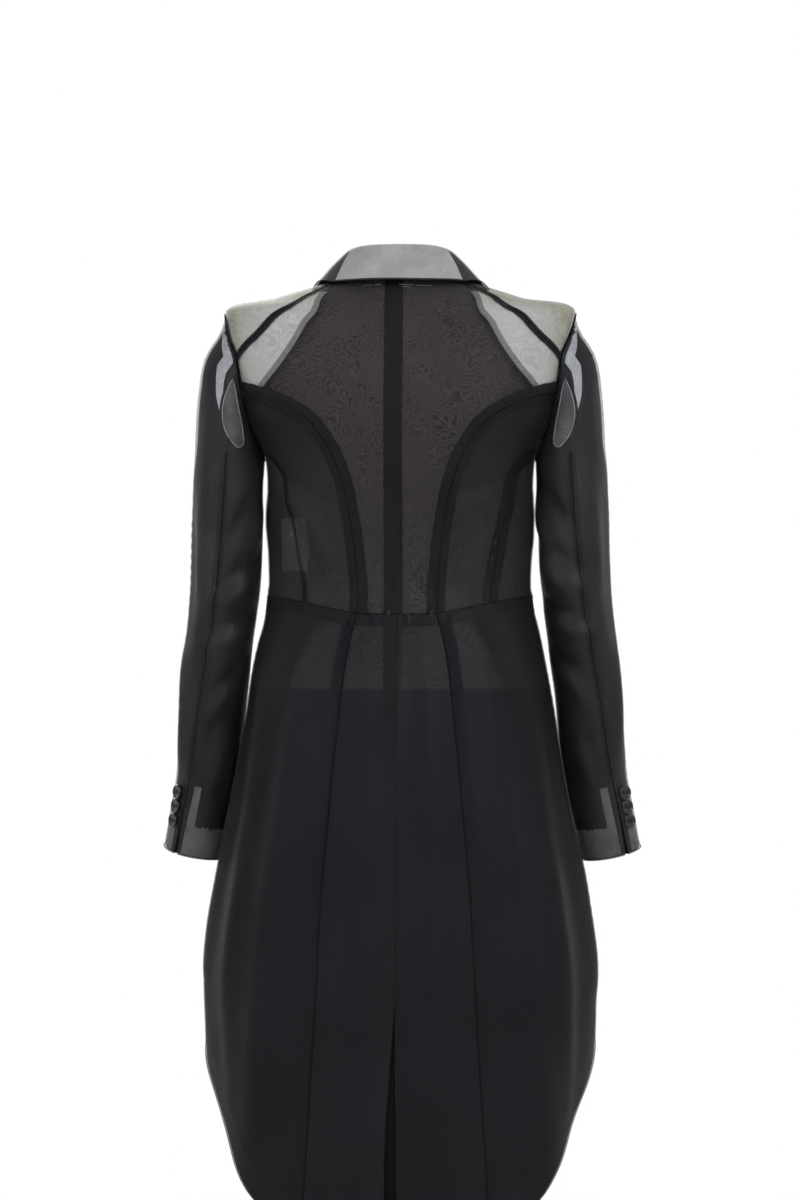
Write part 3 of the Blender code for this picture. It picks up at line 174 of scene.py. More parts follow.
# Rings of the sleeve: level, inner x, outer x, y of the centre, half of the depth
SLEEVE_RINGS = (
    (-0.010, 0.1650, 0.2040, 0.000, 0.038),
    (-0.038, 0.1610, 0.2090, 0.000, 0.046),
    (-0.056, 0.1590, 0.2160, 0.000, 0.051),
    (-0.076, 0.1580, 0.2265, 0.000, 0.055),
    (-0.096, 0.1580, 0.2330, 0.000, 0.058),
    (-0.126, 0.1580, 0.2370, 0.000, 0.061),
    (-0.170, 0.1590, 0.2400, 0.000, 0.063),
    (-0.216, 0.1605, 0.2430, -0.001, 0.063),
    (-0.270, 0.1615, 0.2460, -0.004, 0.061),
    (-0.325, 0.1630, 0.2475, -0.008, 0.058),
    (-0.365, 0.1665, 0.2490, -0.012, 0.056),
    (-0.406, 0.1725, 0.2530, -0.018, 0.054),
    (-0.459, 0.1790, 0.2590, -0.027, 0.052),
    (-0.540, 0.1875, 0.2645, -0.043, 0.048),
    (-0.588, 0.1950, 0.2685, -0.052, 0.045),
    (-0.635, 0.2040, 0.2770, -0.060, 0.043),
    (-0.675, 0.2110, 0.2850, -0.066, 0.042),
    (-0.700, 0.2150, 0.2900, -0.070, 0.042),
)
CUFF_LEVEL = -0.669
SEAM_GAP = 0.0003  # between the body and the sleeve at the armpit
HEAD_BLEND = 0.055  # length over which the sleeve head leaves the armhole
# The sleeve's long seams: level, degrees round the sleeve
BACK_SEAM = ((-0.020, 92), (-0.240, 90), (-0.340, 82), (-0.460, 72), (-0.580, 58), (-0.700, 54))
FRONT_SEAM = ((-0.020, 246), (-0.240, 244), (-0.460, 240), (-0.700, 236))
SEAM_ROWS = 70
FRONT_TOP_DEGREES = 246.0  # where the front seam meets the armhole
CUFF_VENT_GAP = ((-0.560, 0.0), (-0.580, 0.0), (-0.630, 2.0), (-0.700, 6.0))  # level, degrees open

PAD_INSIDE_BACK = ((0.0820, -0.0070), (0.0965, -0.0390), (0.1175, -0.0735), (0.1405, -0.1050),
                   (0.1600, -0.1290))
PAD_BOTTOM_BACK = (0.1790, -0.1315)
PAD_INSIDE_FRONT = ((0.0900, -0.0120), (0.1100, -0.0340), (0.1350, -0.0620), (0.1580, -0.0880))
PAD_BOTTOM_FRONT = (0.1780, -0.0960)
PAD_EDGE = 0.0012  # thickness of the shoulder pad at its inner edge
PAD_FULL = 0.0080  # and at the armhole
WADDING_NEAR, WADDING_FAR = 0.0045, 0.0135  # its edges' drops below the armhole seam
WADDING_TAIL = ((0.2130, -0.0950), (0.2140, -0.1150), (0.2130, -0.1330), (0.2090, -0.1490),
                (0.2045, -0.1280), (0.2015, -0.1050))
CANVAS_OUTLINE = (
    (0.1935, -0.1120), (0.2010, -0.1300), (0.2050, -0.1500), (0.2030, -0.1680), (0.1950, -0.1840),
    (0.1850, -0.1930), (0.1800, -0.1880), (0.1820, -0.1680), (0.1865, -0.1460), (0.1905, -0.1240),
)

LABEL_SIZE = (0.030, 0.062)
LABEL_PLACE = (0.1210, -0.3060)

# Creases: side (1 left, -1 right), degrees and level of both ends, width, depth.
# A negative depth is a trough.
BODY_CREASES = (
    (1, 24, -0.225, 50, -0.262, 0.007, -0.0022), (1, 20, -0.240, 44, -0.300, 0.008, 0.0020),
    (1, 26, -0.262, 40, -0.345, 0.009, -0.0020), (1, 40, -0.285, 52, -0.372, 0.010, 0.0014),
    (1, 66, -0.300, 60, -0.380, 0.010, -0.0013), (1, 82, -0.320, 74, -0.384, 0.012, 0.0011),
    (1, 8, -0.250, 18, -0.350, 0.009, -0.0020), (1, -8, -0.235, 4, -0.300, 0.008, 0.0018),
    (-1, 22, -0.222, 54, -0.250, 0.008, -0.0024), (-1, 22, -0.245, 40, -0.318, 0.008, 0.0018),
    (-1, 30, -0.275, 36, -0.360, 0.009, -0.0022), (-1, 48, -0.300, 46, -0.376, 0.010, 0.0016),
    (-1, 70, -0.290, 64, -0.376, 0.011, -0.0014), (-1, 86, -0.330, 80, -0.384, 0.012, 0.0010),
    (-1, 6, -0.245, 14, -0.340, 0.009, -0.0018), (-1, -10, -0.230, 2, -0.310, 0.009, 0.0016),
    (1, 62, -0.085, 76, -0.150, 0.014, -0.0010), (-1, 60, -0.090, 78, -0.140, 0.014, -0.0012),
    (1, 70, -0.180, 88, -0.230, 0.016, -0.0009), (-1, 66, -0.200, 88, -0.260, 0.016, 0.0010),
    (1, -40, -0.170, -24, -0.240, 0.010, -0.0018), (-1, -42, -0.160, -22, -0.250, 0.011, -0.0020),
    (1, -60, -0.290, -34, -0.340, 0.010, 0.0016), (-1, -58, -0.300, -36, -0.330, 0.010, 0.0015),
    (1, -84, -0.355, -50, -0.330, 0.010, -0.0014), (-1, -80, -0.350, -48, -0.335, 0.010, -0.0014),
    (1, 84, -0.410, 86, -0.700, 0.013, -0.0018), (1, 72, -0.430, 70, -1.060, 0.014, 0.0026),
    (1, 60, -0.400, 62, -0.640, 0.010, -0.0016), (1, 44, -0.405, 40, -0.760, 0.013, 0.0030),
    (1, 34, -0.400, 30, -0.980, 0.014, -0.0030), (1, 24, -0.410, 21, -0.900, 0.012, 0.0028),
    (1, 12, -0.400, 9, -0.860, 0.013, -0.0030), (1, 3, -0.420, -2, -0.800, 0.012, 0.0026),
    (1, 47, -0.820, 44, -1.060, 0.012, -0.0024), (1, -12, -0.400, -16, -0.760, 0.013, -0.0028),
    (1, -30, -0.395, -34, -0.640, 0.012, 0.0026), (1, -52, -0.390, -56, -0.560, 0.011, -0.0018),
    (-1, 83, -0.420, 84, -0.760, 0.014, -0.0020), (-1, 75, -0.405, 71, -1.020, 0.013, 0.0028),
    (-1, 63, -0.400, 60, -0.700, 0.011, -0.0018), (-1, 46, -0.410, 43, -0.840, 0.013, 0.0030),
    (-1, 37, -0.400, 33, -0.900, 0.013, -0.0032), (-1, 27, -0.405, 22, -0.960, 0.012, 0.0030),
    (-1, 14, -0.400, 12, -0.830, 0.014, -0.0028), (-1, 4, -0.400, 0, -0.820, 0.012, 0.0026),
    (-1, 50, -0.860, 46, -1.060, 0.013, -0.0022), (-1, -14, -0.400, -17, -0.740, 0.013, -0.0026),
    (-1, -32, -0.395, -35, -0.660, 0.012, 0.0024), (-1, -50, -0.395, -55, -0.540, 0.011, -0.0018),
)
# The same for the sleeves, in degrees round the sleeve: 0 outside, 90 behind, 180 inside.
SLEEVE_CREASES = (
    (1, 158, -0.235, 96, -0.300, 0.009, -0.0028), (1, 170, -0.265, 120, -0.350, 0.009, 0.0024),
    (1, 165, -0.310, 84, -0.350, 0.010, -0.0030), (1, 150, -0.345, 60, -0.372, 0.009, 0.0030),
    (1, 168, -0.375, 70, -0.400, 0.010, -0.0032), (1, 130, -0.400, 40, -0.430, 0.010, 0.0024),
    (1, 160, -0.430, 88, -0.470, 0.010, -0.0024), (1, 120, -0.465, 60, -0.520, 0.011, 0.0022),
    (1, 60, -0.220, 46, -0.340, 0.012, 0.0018), (1, 100, -0.500, 80, -0.585, 0.011, -0.0020),
    (1, 140, -0.520, 150, -0.620, 0.012, 0.0020), (1, 20, -0.250, 26, -0.420, 0.013, -0.0020),
    (1, 16, -0.440, 30, -0.560, 0.012, 0.0020), (1, 78, -0.150, 70, -0.230, 0.010, -0.0016),
    (-1, 162, -0.228, 100, -0.280, 0.009, -0.0026), (-1, 172, -0.255, 128, -0.330, 0.010, 0.0026),
    (-1, 160, -0.300, 78, -0.330, 0.009, -0.0028), (-1, 156, -0.330, 66, -0.360, 0.010, 0.0030),
    (-1, 172, -0.362, 80, -0.386, 0.009, -0.0034), (-1, 136, -0.385, 46, -0.412, 0.010, 0.0026),
    (-1, 162, -0.415, 96, -0.446, 0.010, -0.0026), (-1, 126, -0.450, 64, -0.500, 0.011, 0.0020),
    (-1, 66, -0.230, 50, -0.320, 0.012, 0.0016), (-1, 104, -0.510, 76, -0.570, 0.011, -0.0022),
    (-1, 146, -0.500, 154, -0.610, 0.012, 0.0018), (-1, 24, -0.240, 22, -0.400, 0.013, -0.0018),
    (-1, 20, -0.430, 36, -0.550, 0.012, 0.0022), (-1, 84, -0.155, 72, -0.240, 0.010, -0.0016),
    (1, 250, -0.300, 210, -0.360, 0.010, -0.0026), (1, 262, -0.360, 208, -0.400, 0.010, 0.0026),
    (1, 256, -0.410, 206, -0.440, 0.010, -0.0028), (1, 280, -0.200, 300, -0.340, 0.013, 0.0020),
    (-1, 252, -0.290, 212, -0.350, 0.010, -0.0026), (-1, 264, -0.350, 210, -0.392, 0.010, 0.0028),
    (-1, 258, -0.400, 208, -0.436, 0.010, -0.0026), (-1, 282, -0.210, 298, -0.350, 0.013, 0.0020),
)


def smooth_table(rows):
    """A function that reads the columns of rows at any value of the first one, along smooth curves."""
    table = np.array(rows, float)
    order = np.argsort(table[:, 0])
    keys, values = table[order, 0], table[order, 1:]
    steps = np.diff(keys)[:, None]
    slopes = np.diff(values, axis=0) / steps
    tangents = np.empty_like(values)
    tangents[0], tangents[-1] = slopes[0], slopes[-1]
    tangents[1:-1] = (slopes[:-1] * steps[1:] + slopes[1:] * steps[:-1]) / (steps[:-1] + steps[1:])
    flat = np.minimum(np.abs(slopes[:-1]), np.abs(slopes[1:])) * 3
    tangents[1:-1] = np.where(slopes[:-1] * slopes[1:] > 0, np.clip(tangents[1:-1], -flat, flat), 0)

    def read(at):
        at = np.clip(np.atleast_1d(np.asarray(at, float)), keys[0], keys[-1])
        cell = np.clip(np.searchsorted(keys, at, side="right") - 1, 0, len(keys) - 2)
        width = (keys[cell + 1] - keys[cell])[:, None]
        t = (at - keys[cell])[:, None] / width
        start, end = values[cell], values[cell + 1]
        return (
            start * (2 * t**3 - 3 * t**2 + 1)
            + end * (3 * t**2 - 2 * t**3)
            + tangents[cell] * width * (t**3 - 2 * t**2 + t)
            + tangents[cell + 1] * width * (t**3 - t**2)
        )

    return read


def ease(x):
    """0 below 0, 1 above 1, and smooth between."""
    x = np.clip(x, 0.0, 1.0)
    return x * x * (3 - 2 * x)


def lengths_along(points, weights=1.0):
    """How far along the line through the points each of them lies."""
    runs = np.linalg.norm(np.diff(points, axis=0) * weights, axis=1)
    return np.concatenate([[0], np.cumsum(runs)])


read_ring = smooth_table(RINGS)
read_waist = smooth_table(WAIST_LINE)
read_skirt_edge = smooth_table(SKIRT_EDGE)
read_vent = smooth_table(VENT)
read_sleeve = smooth_table(SLEEVE_RINGS)
read_back_seam = smooth_table(BACK_SEAM)
read_front_seam = smooth_table(FRONT_SEAM)
read_vent_gap = smooth_table(CUFF_VENT_GAP)


def flutes(angle, level):
    """How far the skirt's flutes stand out of its rings."""
    out = np.zeros_like(angle)
    for degrees, width, depth, top, full in FLUTES:
        near = np.exp(-(((np.degrees(angle) - degrees) / width) ** 2))
        out += depth * near * ease((top - level) / (top - full))
    return out


def body_point(uv):
    """Points of the body's left half at (angle, level), as an n by 3 array."""
    angle, level = uv[:, 0], uv[:, 1]
    z_back, z_side, z_front, half_width, back, front, power = read_ring(level).T
    sine, cosine = np.sin(angle), np.cos(angle)
    depth = np.where(sine > 0, back, front)
    radius = (np.abs(cosine / half_width) ** power + np.abs(sine / depth) ** power) ** (-1 / power)
    radius += flutes(angle, level)
    end = np.where(sine > 0, z_back, z_front)
    height = z_side + (end - z_side) * sine**2
    return np.stack([radius * cosine, radius * sine, height], 1)


def normals(surface, uv):
    """Outward unit normals of a surface at (angle, level)."""
    turn, rise = [2e-4, 0], [0, 2e-5]  # small steps along the surface
    across = surface(uv + turn) - surface(uv - turn)
    along = surface(uv + rise) - surface(uv - rise)
    normal = np.cross(across, along)
    return normal / np.linalg.norm(normal, axis=1, keepdims=True)


def solve(surface, guess, target, axes, most=0.08):
    """Newton's steps from guess to the (angle, level) whose point has the target's coordinates."""
    guess = np.array(guess, float)
    for _ in range(40):
        trio = guess + np.array([[0, 0], [1e-4, 0], [0, 1e-5]])
        seen = surface(trio)[:, axes] - target
        slope = ((seen[1:] - seen[0]) / [[1e-4], [1e-5]]).T
        step = np.linalg.solve(slope.T @ slope + 1e-7 * np.eye(2), slope.T @ seen[0])
        guess -= np.clip(step, -most, most)
    return guess, np.linalg.norm(surface(guess[None])[0, axes] - target)


def locate(x, z, front=False):
    """The (angle, level) where the body's back or front shows the point (x, z)."""
    sign = -1.0 if front else 1.0
    tries = []
    for degrees in (30, 65):
        start = (sign * math.radians(degrees), z + 0.03 * (z > -0.15))
        found, miss = solve(body_point, start, (x, z), [0, 2])
        tries.append((miss, tuple(found)))
    return np.array(min(tries)[1])


def locate_on_sleeve(x, z):
    """The (angle, level) where the back of the sleeve shows the point (x, z)."""
    return solve(sleeve_point, (math.radians(85), z), (x, z), [0, 2])[0]


def curve_through(points, step, weights=(BODY_RADIUS, 1.0)):
    """Points about a step apart on a smooth curve through the given ones, both ends included."""
    points = np.array(points, float)
    along = lengths_along(points, weights)
    read = smooth_table(np.column_stack([along, points]))
    count = max(2, int(round(along[-1] / step)) + 1)
    return read(np.linspace(0, along[-1], count))


def located(points, front=False):
    """A curve through points that the body's back or front shows."""
    return curve_through([locate(x, z, front) for x, z in points], STEP)


def hex_points(outline):
    """Points of a triangular grid of unit spacing inside an outline and clear of its edge."""
    low, high = outline.min(0), outline.max(0)
    rows = np.arange(low[1] + 0.5, high[1], math.sqrt(0.75))
    grid = [
        (x + 0.5 * (number % 2), y)
        for number, y in enumerate(rows)
        for x in np.arange(low[0] + 0.25, high[0], 1.0)
    ]
    if not grid:
        return np.zeros((0, 2))
    grid = np.array(grid)
    start, end = outline, np.roll(outline, -1, 0)
    run = end - start
    inside = np.zeros(len(grid), bool)
    nearest = np.full(len(grid), np.inf)
    for a, b, r in zip(start, end, run):
        crosses = (a[1] > grid[:, 1]) != (b[1] > grid[:, 1])
        if abs(r[1]) > 1e-12:
            inside ^= crosses & (grid[:, 0] < a[0] + (grid[:, 1] - a[1]) * r[0] / r[1])
        t = np.clip(((grid - a) @ r) / max(r @ r, 1e-12), 0, 1)
        nearest = np.minimum(nearest, np.linalg.norm(grid - (a + t[:, None] * r), axis=1))
    return grid[inside & (nearest > 0.5)]


def armhole_curve():
    """The armhole from the shoulder tip down the back to the armpit and up the front, closed."""
    tip, pit = (0.0, SHOULDER_LEVEL), (0.0, ARMPIT_LEVEL)
    back = [tip] + [tuple(locate(x, z)) for x, z in ARMHOLE_BACK] + [pit]
    front = [tuple(locate(x, z, front=True)) for x, z in reversed(ARMHOLE_FRONT)] + [tip]
    points = np.array(back + front)
    along = lengths_along(body_point(points))
    wrapped = np.vstack([
        np.column_stack([along[:-1] - along[-1], points[:-1]]),
        np.column_stack([along, points]),
        np.column_stack([along[1:] + along[-1], points[1:]]),
    ])
    return smooth_table(wrapped), along, len(back) - 1


ARMHOLE, ARMHOLE_RUNS, PIT_ROW = armhole_curve()


def armhole_place(x, z):
    """How far down the back of the armhole the point (x, z) lies, from the shoulder tip."""
    tries = np.linspace(0, ARMHOLE_RUNS[PIT_ROW], 400)
    seen = body_point(ARMHOLE(tries))[:, [0, 2]]
    return tries[np.argmin(np.linalg.norm(seen - (x, z), axis=1))]


SHOULDER_PLACE = armhole_place(*SHOULDER_SEAM[-1])
PRINCESS_PLACE = armhole_place(*PRINCESS_SEAM[0])
SIDE_PLACE = armhole_place(*SIDE_SEAM[0])
ROUND = ARMHOLE_RUNS[-1]


def armhole_knots():
    """Places of the points that the body's panels and the sleeve share along the armhole."""
    stops = [0.0, SHOULDER_PLACE, PRINCESS_PLACE, SIDE_PLACE, ARMHOLE_RUNS[PIT_ROW], ROUND]
    knots = []
    for low, high in zip(stops[:-1], stops[1:]):
        count = max(1, int(round((high - low) / STEP)))
        knots += list(np.linspace(low, high, count, endpoint=False))
    return np.array(knots)


KNOTS = armhole_knots()


def armhole_part(start, end):
    """The shared points from start to end along the armhole, both included."""
    knots = np.concatenate([KNOTS, KNOTS + ROUND, [2 * ROUND]])
    chosen = knots[(knots > start - 1e-6) & (knots < end + 1e-6)]
    return ARMHOLE(np.mod(chosen, ROUND))


def sleeve_degrees(place):
    """Turns a place along the armhole into degrees round the sleeve, the armpit being at 180."""
    half = ARMHOLE_RUNS[PIT_ROW]
    return np.where(place <= half, 180 * place / half, 180 + 180 * (place - half) / (ROUND - half))


BACK_TOP_DEGREES = float(sleeve_degrees(PRINCESS_PLACE))  # where the back seam meets the armhole


def armhole_at(degrees):
    """Body (angle, level) of the armhole at degrees round the sleeve."""
    half = ARMHOLE_RUNS[PIT_ROW]
    degrees = np.mod(degrees, 360)
    place = np.where(degrees <= 180, degrees / 180 * half, half + (degrees - 180) / 180 * (ROUND - half))
    return ARMHOLE(place)


def underarm(degrees):
    """1 near the armpit, where the sleeve hangs down beside the body, and 0 higher up."""
    return ease((62 - np.abs(degrees - 180)) / 24)


def waist_curve(start, end):
    """The waist seam from one angle to another, in degrees."""
    count = max(2, int(round(abs(end - start) * BODY_RADIUS * math.pi / 180 / STEP)) + 1)
    degrees = np.linspace(start, end, count)
    return np.column_stack([np.radians(degrees), read_waist(degrees)[:, 0]])


def skirt_edge_curve(start, end):
    """The skirt's edge from one angle to another, in degrees."""
    tries = np.linspace(start, end, 400)
    line = np.column_stack([np.radians(tries), read_skirt_edge(tries)[:, 0]])
    along = lengths_along(line * [BODY_RADIUS, 1])
    return even_points(line, along, STEP)


def even_points(line, along, step):
    """Points about a step apart on a line, given how far along it each of its own points lies."""
    at = np.linspace(0, along[-1], max(2, int(round(along[-1] / step)) + 1))
    return np.column_stack([np.interp(at, along, line[:, column]) for column in (0, 1)])


def meet_waist(curve):
    """The curve with its last point moved onto the waist seam."""
    curve = curve.copy()
    curve[-1, 1] = read_waist(np.degrees(curve[-1, 0]))[0, 0]
    return curve


PRINCESS = located(PRINCESS_SEAM)
PRINCESS[0] = ARMHOLE(PRINCESS_PLACE)[0]
PRINCESS = meet_waist(PRINCESS)
SIDE = located(SIDE_SEAM)
SIDE[0] = ARMHOLE(SIDE_PLACE)[0]
SIDE = meet_waist(SIDE)
SHOULDER = located(SHOULDER_SEAM)
SHOULDER[-1] = ARMHOLE(SHOULDER_PLACE)[0]
SHOULDER[0, 1] = NECK_LEVEL
PLEAT = located(PLEAT_LINE)
PLEAT[0] = PRINCESS[-1]
PLEAT[-1, 1] = read_skirt_edge(np.degrees(PLEAT[-1, 0]))[0, 0]
ROLL_START = locate(*ROLL_TOP, front=True)


def neck_curve(start, end):
    """The neck seam between two angles in radians."""
    count = max(2, int(round(abs(end - start) * NECK_RADIUS / STEP)) + 1)
    return np.column_stack([np.linspace(start, end, count), np.full(count, NECK_LEVEL)])


def join(*parts):
    """One closed outline from curves that end where the next begins."""
    rows = []
    for part in parts:
        for point in part:
            if not rows or np.linalg.norm(np.subtract(rows[-1], point)) > 1e-6:
                rows.append(tuple(point))
    if np.linalg.norm(np.subtract(rows[0], rows[-1])) < 1e-6:
        rows.pop()
    return np.array(rows)


def centre_back():
    """The centre-back seam from the waist up to the neck."""
    levels = np.linspace(WAIST_LEVEL, NECK_LEVEL, int(round((NECK_LEVEL - WAIST_LEVEL) / STEP)))
    return np.column_stack([np.full(len(levels), math.pi / 2), levels])


def underlap(uv):
    """How far the right front and its skirt step inwards near the centre front."""
    x = body_point(uv)[:, 0]
    near = ease((0.075 - x) / 0.045) * (uv[:, 0] < 0)
    low = ease((uv[:, 1] + 0.62) / 0.10) * ease((-0.08 - uv[:, 1]) / 0.10)
    return -UNDERLAP_TUCK * near * low


def break_point():
    return locate_past_centre(FRONT_EDGE_X, BREAK_Z)


def locate_past_centre(x, z):
    """(angle, level) of a front point a little beyond the centre front."""
    depth = read_ring(z)[0, 5]
    return np.array([-math.pi / 2 + math.atan(x / depth), z])


def roll_line():
    """The roll line from the break up to the neck, straight as seen from the front."""
    count = int(round((ROLL_TOP[1] - BREAK_Z) / STEP)) + 1
    line = [break_point()]
    for share in np.linspace(0, 1, count)[1:-1]:
        x = FRONT_EDGE_X + share * (ROLL_TOP[0] - FRONT_EDGE_X)
        z = BREAK_Z + share * (ROLL_TOP[1] - BREAK_Z)
        line.append(locate_past_centre(x, z) if x < 0.012 else locate(x, z, front=True))
    line.append(ROLL_START)
    return np.array(line)


def polygon_area(outline):
    x, y = outline[:, 0], outline[:, 1]
    return 0.5 * (x * np.roll(y, -1) - np.roll(x, -1) * y).sum()


read_collar = smooth_table([(math.radians(row[0]),) + row[1:] for row in COLLAR])
COLLAR_END = math.radians(COLLAR[-1][0])
STAND_STEPS = 3
FALL_STEPS = 4
LEAF_CROWN = 0.0030  # how far the fall arches
COLLAR_STATIONS = 121


def height_of_body(x, y):
    """Height of the shoulder's surface over the plan point (x, y)."""
    found = solve(body_point, (math.atan2(y, x), 0.05), (x, y), [0, 1], 0.05)[0]
    return body_point(found[None])[0, 2]


def collar_section(angle):
    """Points of the collar's face from the neck seam over the roll line to the fall's edge."""
    roll_x, roll_y, roll_z, fall_x, fall_y, fall_z = read_collar(angle)[0]
    seam = body_point(np.array([[angle, NECK_LEVEL]]))[0] + (0, 0, 0.0006)
    roll = np.array([roll_x, roll_y, roll_z - COLLAR_FOLD])
    fall = np.array([fall_x, fall_y, max(fall_z, height_of_body(fall_x, fall_y) + COLLAR_CLEAR)])
    stand = [seam + (roll - seam) * t for t in np.linspace(0, 1, STAND_STEPS + 1)[:-1]]
    flat = (fall - roll) * [1, 1, 0]
    flat /= np.linalg.norm(flat)
    turn = []
    for degrees in (0, 45, 90, 135):
        bend = math.radians(degrees)
        up = np.array([0, 0, math.sin(bend)])
        turn.append(roll + COLLAR_FOLD * (flat * (1 - math.cos(bend)) + up))
    crown = turn[-1]
    leaf = []
    for t in np.linspace(0, 1, FALL_STEPS + 1)[1:]:
        rise = np.array([0, 0, LEAF_CROWN * math.sin(math.pi * t)])
        leaf.append(crown + (fall - crown) * t + rise)
    return np.array(stand + turn + leaf)


def grid_normals(rows):
    """Unit normals of a grid of points."""
    across = np.gradient(rows, axis=1)
    along = np.gradient(rows, axis=0)
    normal = np.cross(across, along)
    return normal / np.linalg.norm(normal, axis=2, keepdims=True)


def collar_rows():
    """Sections of the whole collar from the left gorge round the back to the right one."""
    angles = np.linspace(COLLAR_END, math.pi / 2, COLLAR_STATIONS // 2 + 1)
    half = [collar_section(angle) for angle in angles]
    other = [section * [-1, 1, 1] for section in half[-2::-1]]
    return np.array(half + other)


def vent_edge(side):
    """The centre-back edge of a skirt back, from the hem up to the waist."""
    levels = np.linspace(read_skirt_edge(90)[0, 0], WAIST_LEVEL, VENT_ROWS)
    column = 0 if side > 0 else 1
    x = read_vent(levels)[:, column]
    return np.column_stack([math.pi / 2 - np.arctan(x / read_ring(levels)[:, 4]), levels])


def pleat_drop(uv):
    """How far a skirt side steps in under the skirt back's folded edge."""
    fold = np.interp(-uv[:, 1], -PLEAT[:, 1], PLEAT[:, 0])
    near = ease((uv[:, 0] - fold + 0.10) / 0.07)
    return -PLEAT_TUCK * near * ease((-0.390 - uv[:, 1]) / 0.025)


def sleeve_centre(level):
    ring = read_sleeve(level)
    return np.column_stack([(ring[:, 0] + ring[:, 1]) / 2, ring[:, 2], level])


def sleeve_ring_point(angle, level):
    """A point of the sleeve's own tube, whose rings stand square to its centre line."""
    ring = read_sleeve(level)
    centre = sleeve_centre(level)
    slope = (sleeve_centre(level + 0.01) - sleeve_centre(level - 0.01)) / 0.02
    half_width = (ring[:, 1] - ring[:, 0]) / 2
    dx, dy = half_width * np.cos(angle), ring[:, 3] * np.sin(angle)
    square = ease((-0.20 - level) / 0.15)
    dz = -(slope[:, 0] * dx + slope[:, 1] * dy) * square
    return centre + np.column_stack([dx, dy, dz])


def sleeve_point(uv):
    """Points of the left sleeve at (angle, level). The angle is 0 outside and 90 degrees behind."""
    angle, level = uv[:, 0], uv[:, 1]
    seam = body_point(armhole_at(np.degrees(angle)))
    drop = seam[:, 2] - level
    tube = sleeve_ring_point(angle, np.minimum(level, SLEEVE_RINGS[0][0]))
    leave = np.clip(drop / HEAD_BLEND, 0, 1)
    share = (leave * (2 - leave))[:, None]
    beside = SEAM_GAP * underarm(np.mod(np.degrees(angle), 360))
    start = seam + np.column_stack([beside, np.zeros(len(level)), -drop])
    return start * (1 - share) + tube * share


def sleeve_top(degrees):
    """The sleeve's upper edge at the armhole, at angles in degrees."""
    degrees = np.atleast_1d(np.asarray(degrees, float))
    return np.column_stack([np.radians(degrees), body_point(armhole_at(degrees))[:, 2]])


def head_knots(start, end):
    """Upper edge points between two angles, at the points that the armhole shares."""
    knots = sleeve_degrees(KNOTS)
    knots = np.sort(np.concatenate([knots, knots + 360, [start, end]]))
    chosen = np.unique(np.round(knots[(knots >= start) & (knots <= end)], 6))
    keep = [chosen[0]]
    for value in chosen[1:]:
        if value - keep[-1] > 1.5 or value == chosen[-1]:
            keep.append(value)
    return sleeve_top(keep)


def long_seam(read, top_degrees, widen=0.0, turn=0.0):
    """A sleeve seam from the armhole down to the cuff. widen is its share of the cuff vent's gap."""
    levels = np.linspace(sleeve_top(top_degrees)[0, 1], CUFF_LEVEL, SEAM_ROWS)
    degrees = read(levels)[:, 0]
    degrees[0] = top_degrees
    degrees = degrees + widen * read_vent_gap(levels)[:, 0]
    return np.column_stack([np.radians(degrees + turn), levels])


def back_long_seam(widen=0.0, turn=0.0):
    return long_seam(read_back_seam, BACK_TOP_DEGREES, widen, turn)


def front_long_seam():
    return long_seam(read_front_seam, FRONT_TOP_DEGREES)


def cuff_curve(start, end):
    """The cuff's edge from one angle to another, in degrees."""
    count = int(round(abs(end - start) * math.pi / 180 * SLEEVE_RADIUS / STEP)) + 1
    degrees = np.linspace(start, end, count)
    return np.column_stack([np.radians(degrees), np.full(count, CUFF_LEVEL)])


# ---- cloth on its surfaces --------------------------------------------------------------------

BODY_CREASE_GAIN = 1.6  # how much deeper than their tables the creases are
SLEEVE_CREASE_GAIN = 2.2
PUCKER = 0.00042  # height of the gathers along the waist seam
PUCKER_GAIN = 1.8


def crease_relief(uv, side, table, radius):
    """How far the listed creases move the surface, along its normals."""
    place = np.column_stack([uv[:, 0] * radius, uv[:, 1]])
    out = np.zeros(len(uv))
    for crease_side, degrees, level, end_degrees, end_level, width, depth in table:
        if crease_side != side:
            continue
        start = np.array([math.radians(degrees) * radius, level])
        run = np.array([math.radians(end_degrees) * radius, end_level]) - start
        along = np.clip((place - start) @ run / (run @ run), 0, 1)
        away = np.linalg.norm(place - start - along[:, None] * run, axis=1)
        out += depth * np.exp(-((away / width) ** 2)) * (0.35 + 0.65 * np.sin(math.pi * along) ** 0.7)
    return out


def waist_puckers(uv, side):
    """Fine uneven gathers along the waist seam."""
    seam = read_waist(np.degrees(uv[:, 0]))[:, 0]
    arc = uv[:, 0] * BODY_RADIUS
    waves = np.sin(arc * 420 + side) + 0.7 * np.sin(arc * 267 + 2 * side) + 0.5 * np.sin(arc * 611)
    above = np.where(uv[:, 1] > seam, 0.012, 0.024)
    return PUCKER * waves * np.exp(-(((uv[:, 1] - seam) / above) ** 2))


def soft_waves(uv, side, radius):
    """Slow unevenness that no hanging cloth is free of."""
    x, z = uv[:, 0] * radius, uv[:, 1]
    return (0.0005 * np.sin(31 * x + 19 * z + side) * np.sin(47 * z - 23 * x)
            + 0.0003 * np.sin(83 * x - 41 * z + 2 * side))


def body_relief(uv, side):
    """The body's creases, which die out at the neck and at the centre back and front."""
    creases = BODY_CREASE_GAIN * crease_relief(uv, side, BODY_CREASES, BODY_RADIUS)
    relief = creases + PUCKER_GAIN * waist_puckers(uv, side)
    neck = ease((0.085 - uv[:, 1]) / 0.06)
    middle = ease((90 - np.abs(np.degrees(uv[:, 0]))) / 5)
    return (relief * middle + soft_waves(uv, side, BODY_RADIUS) * middle) * neck


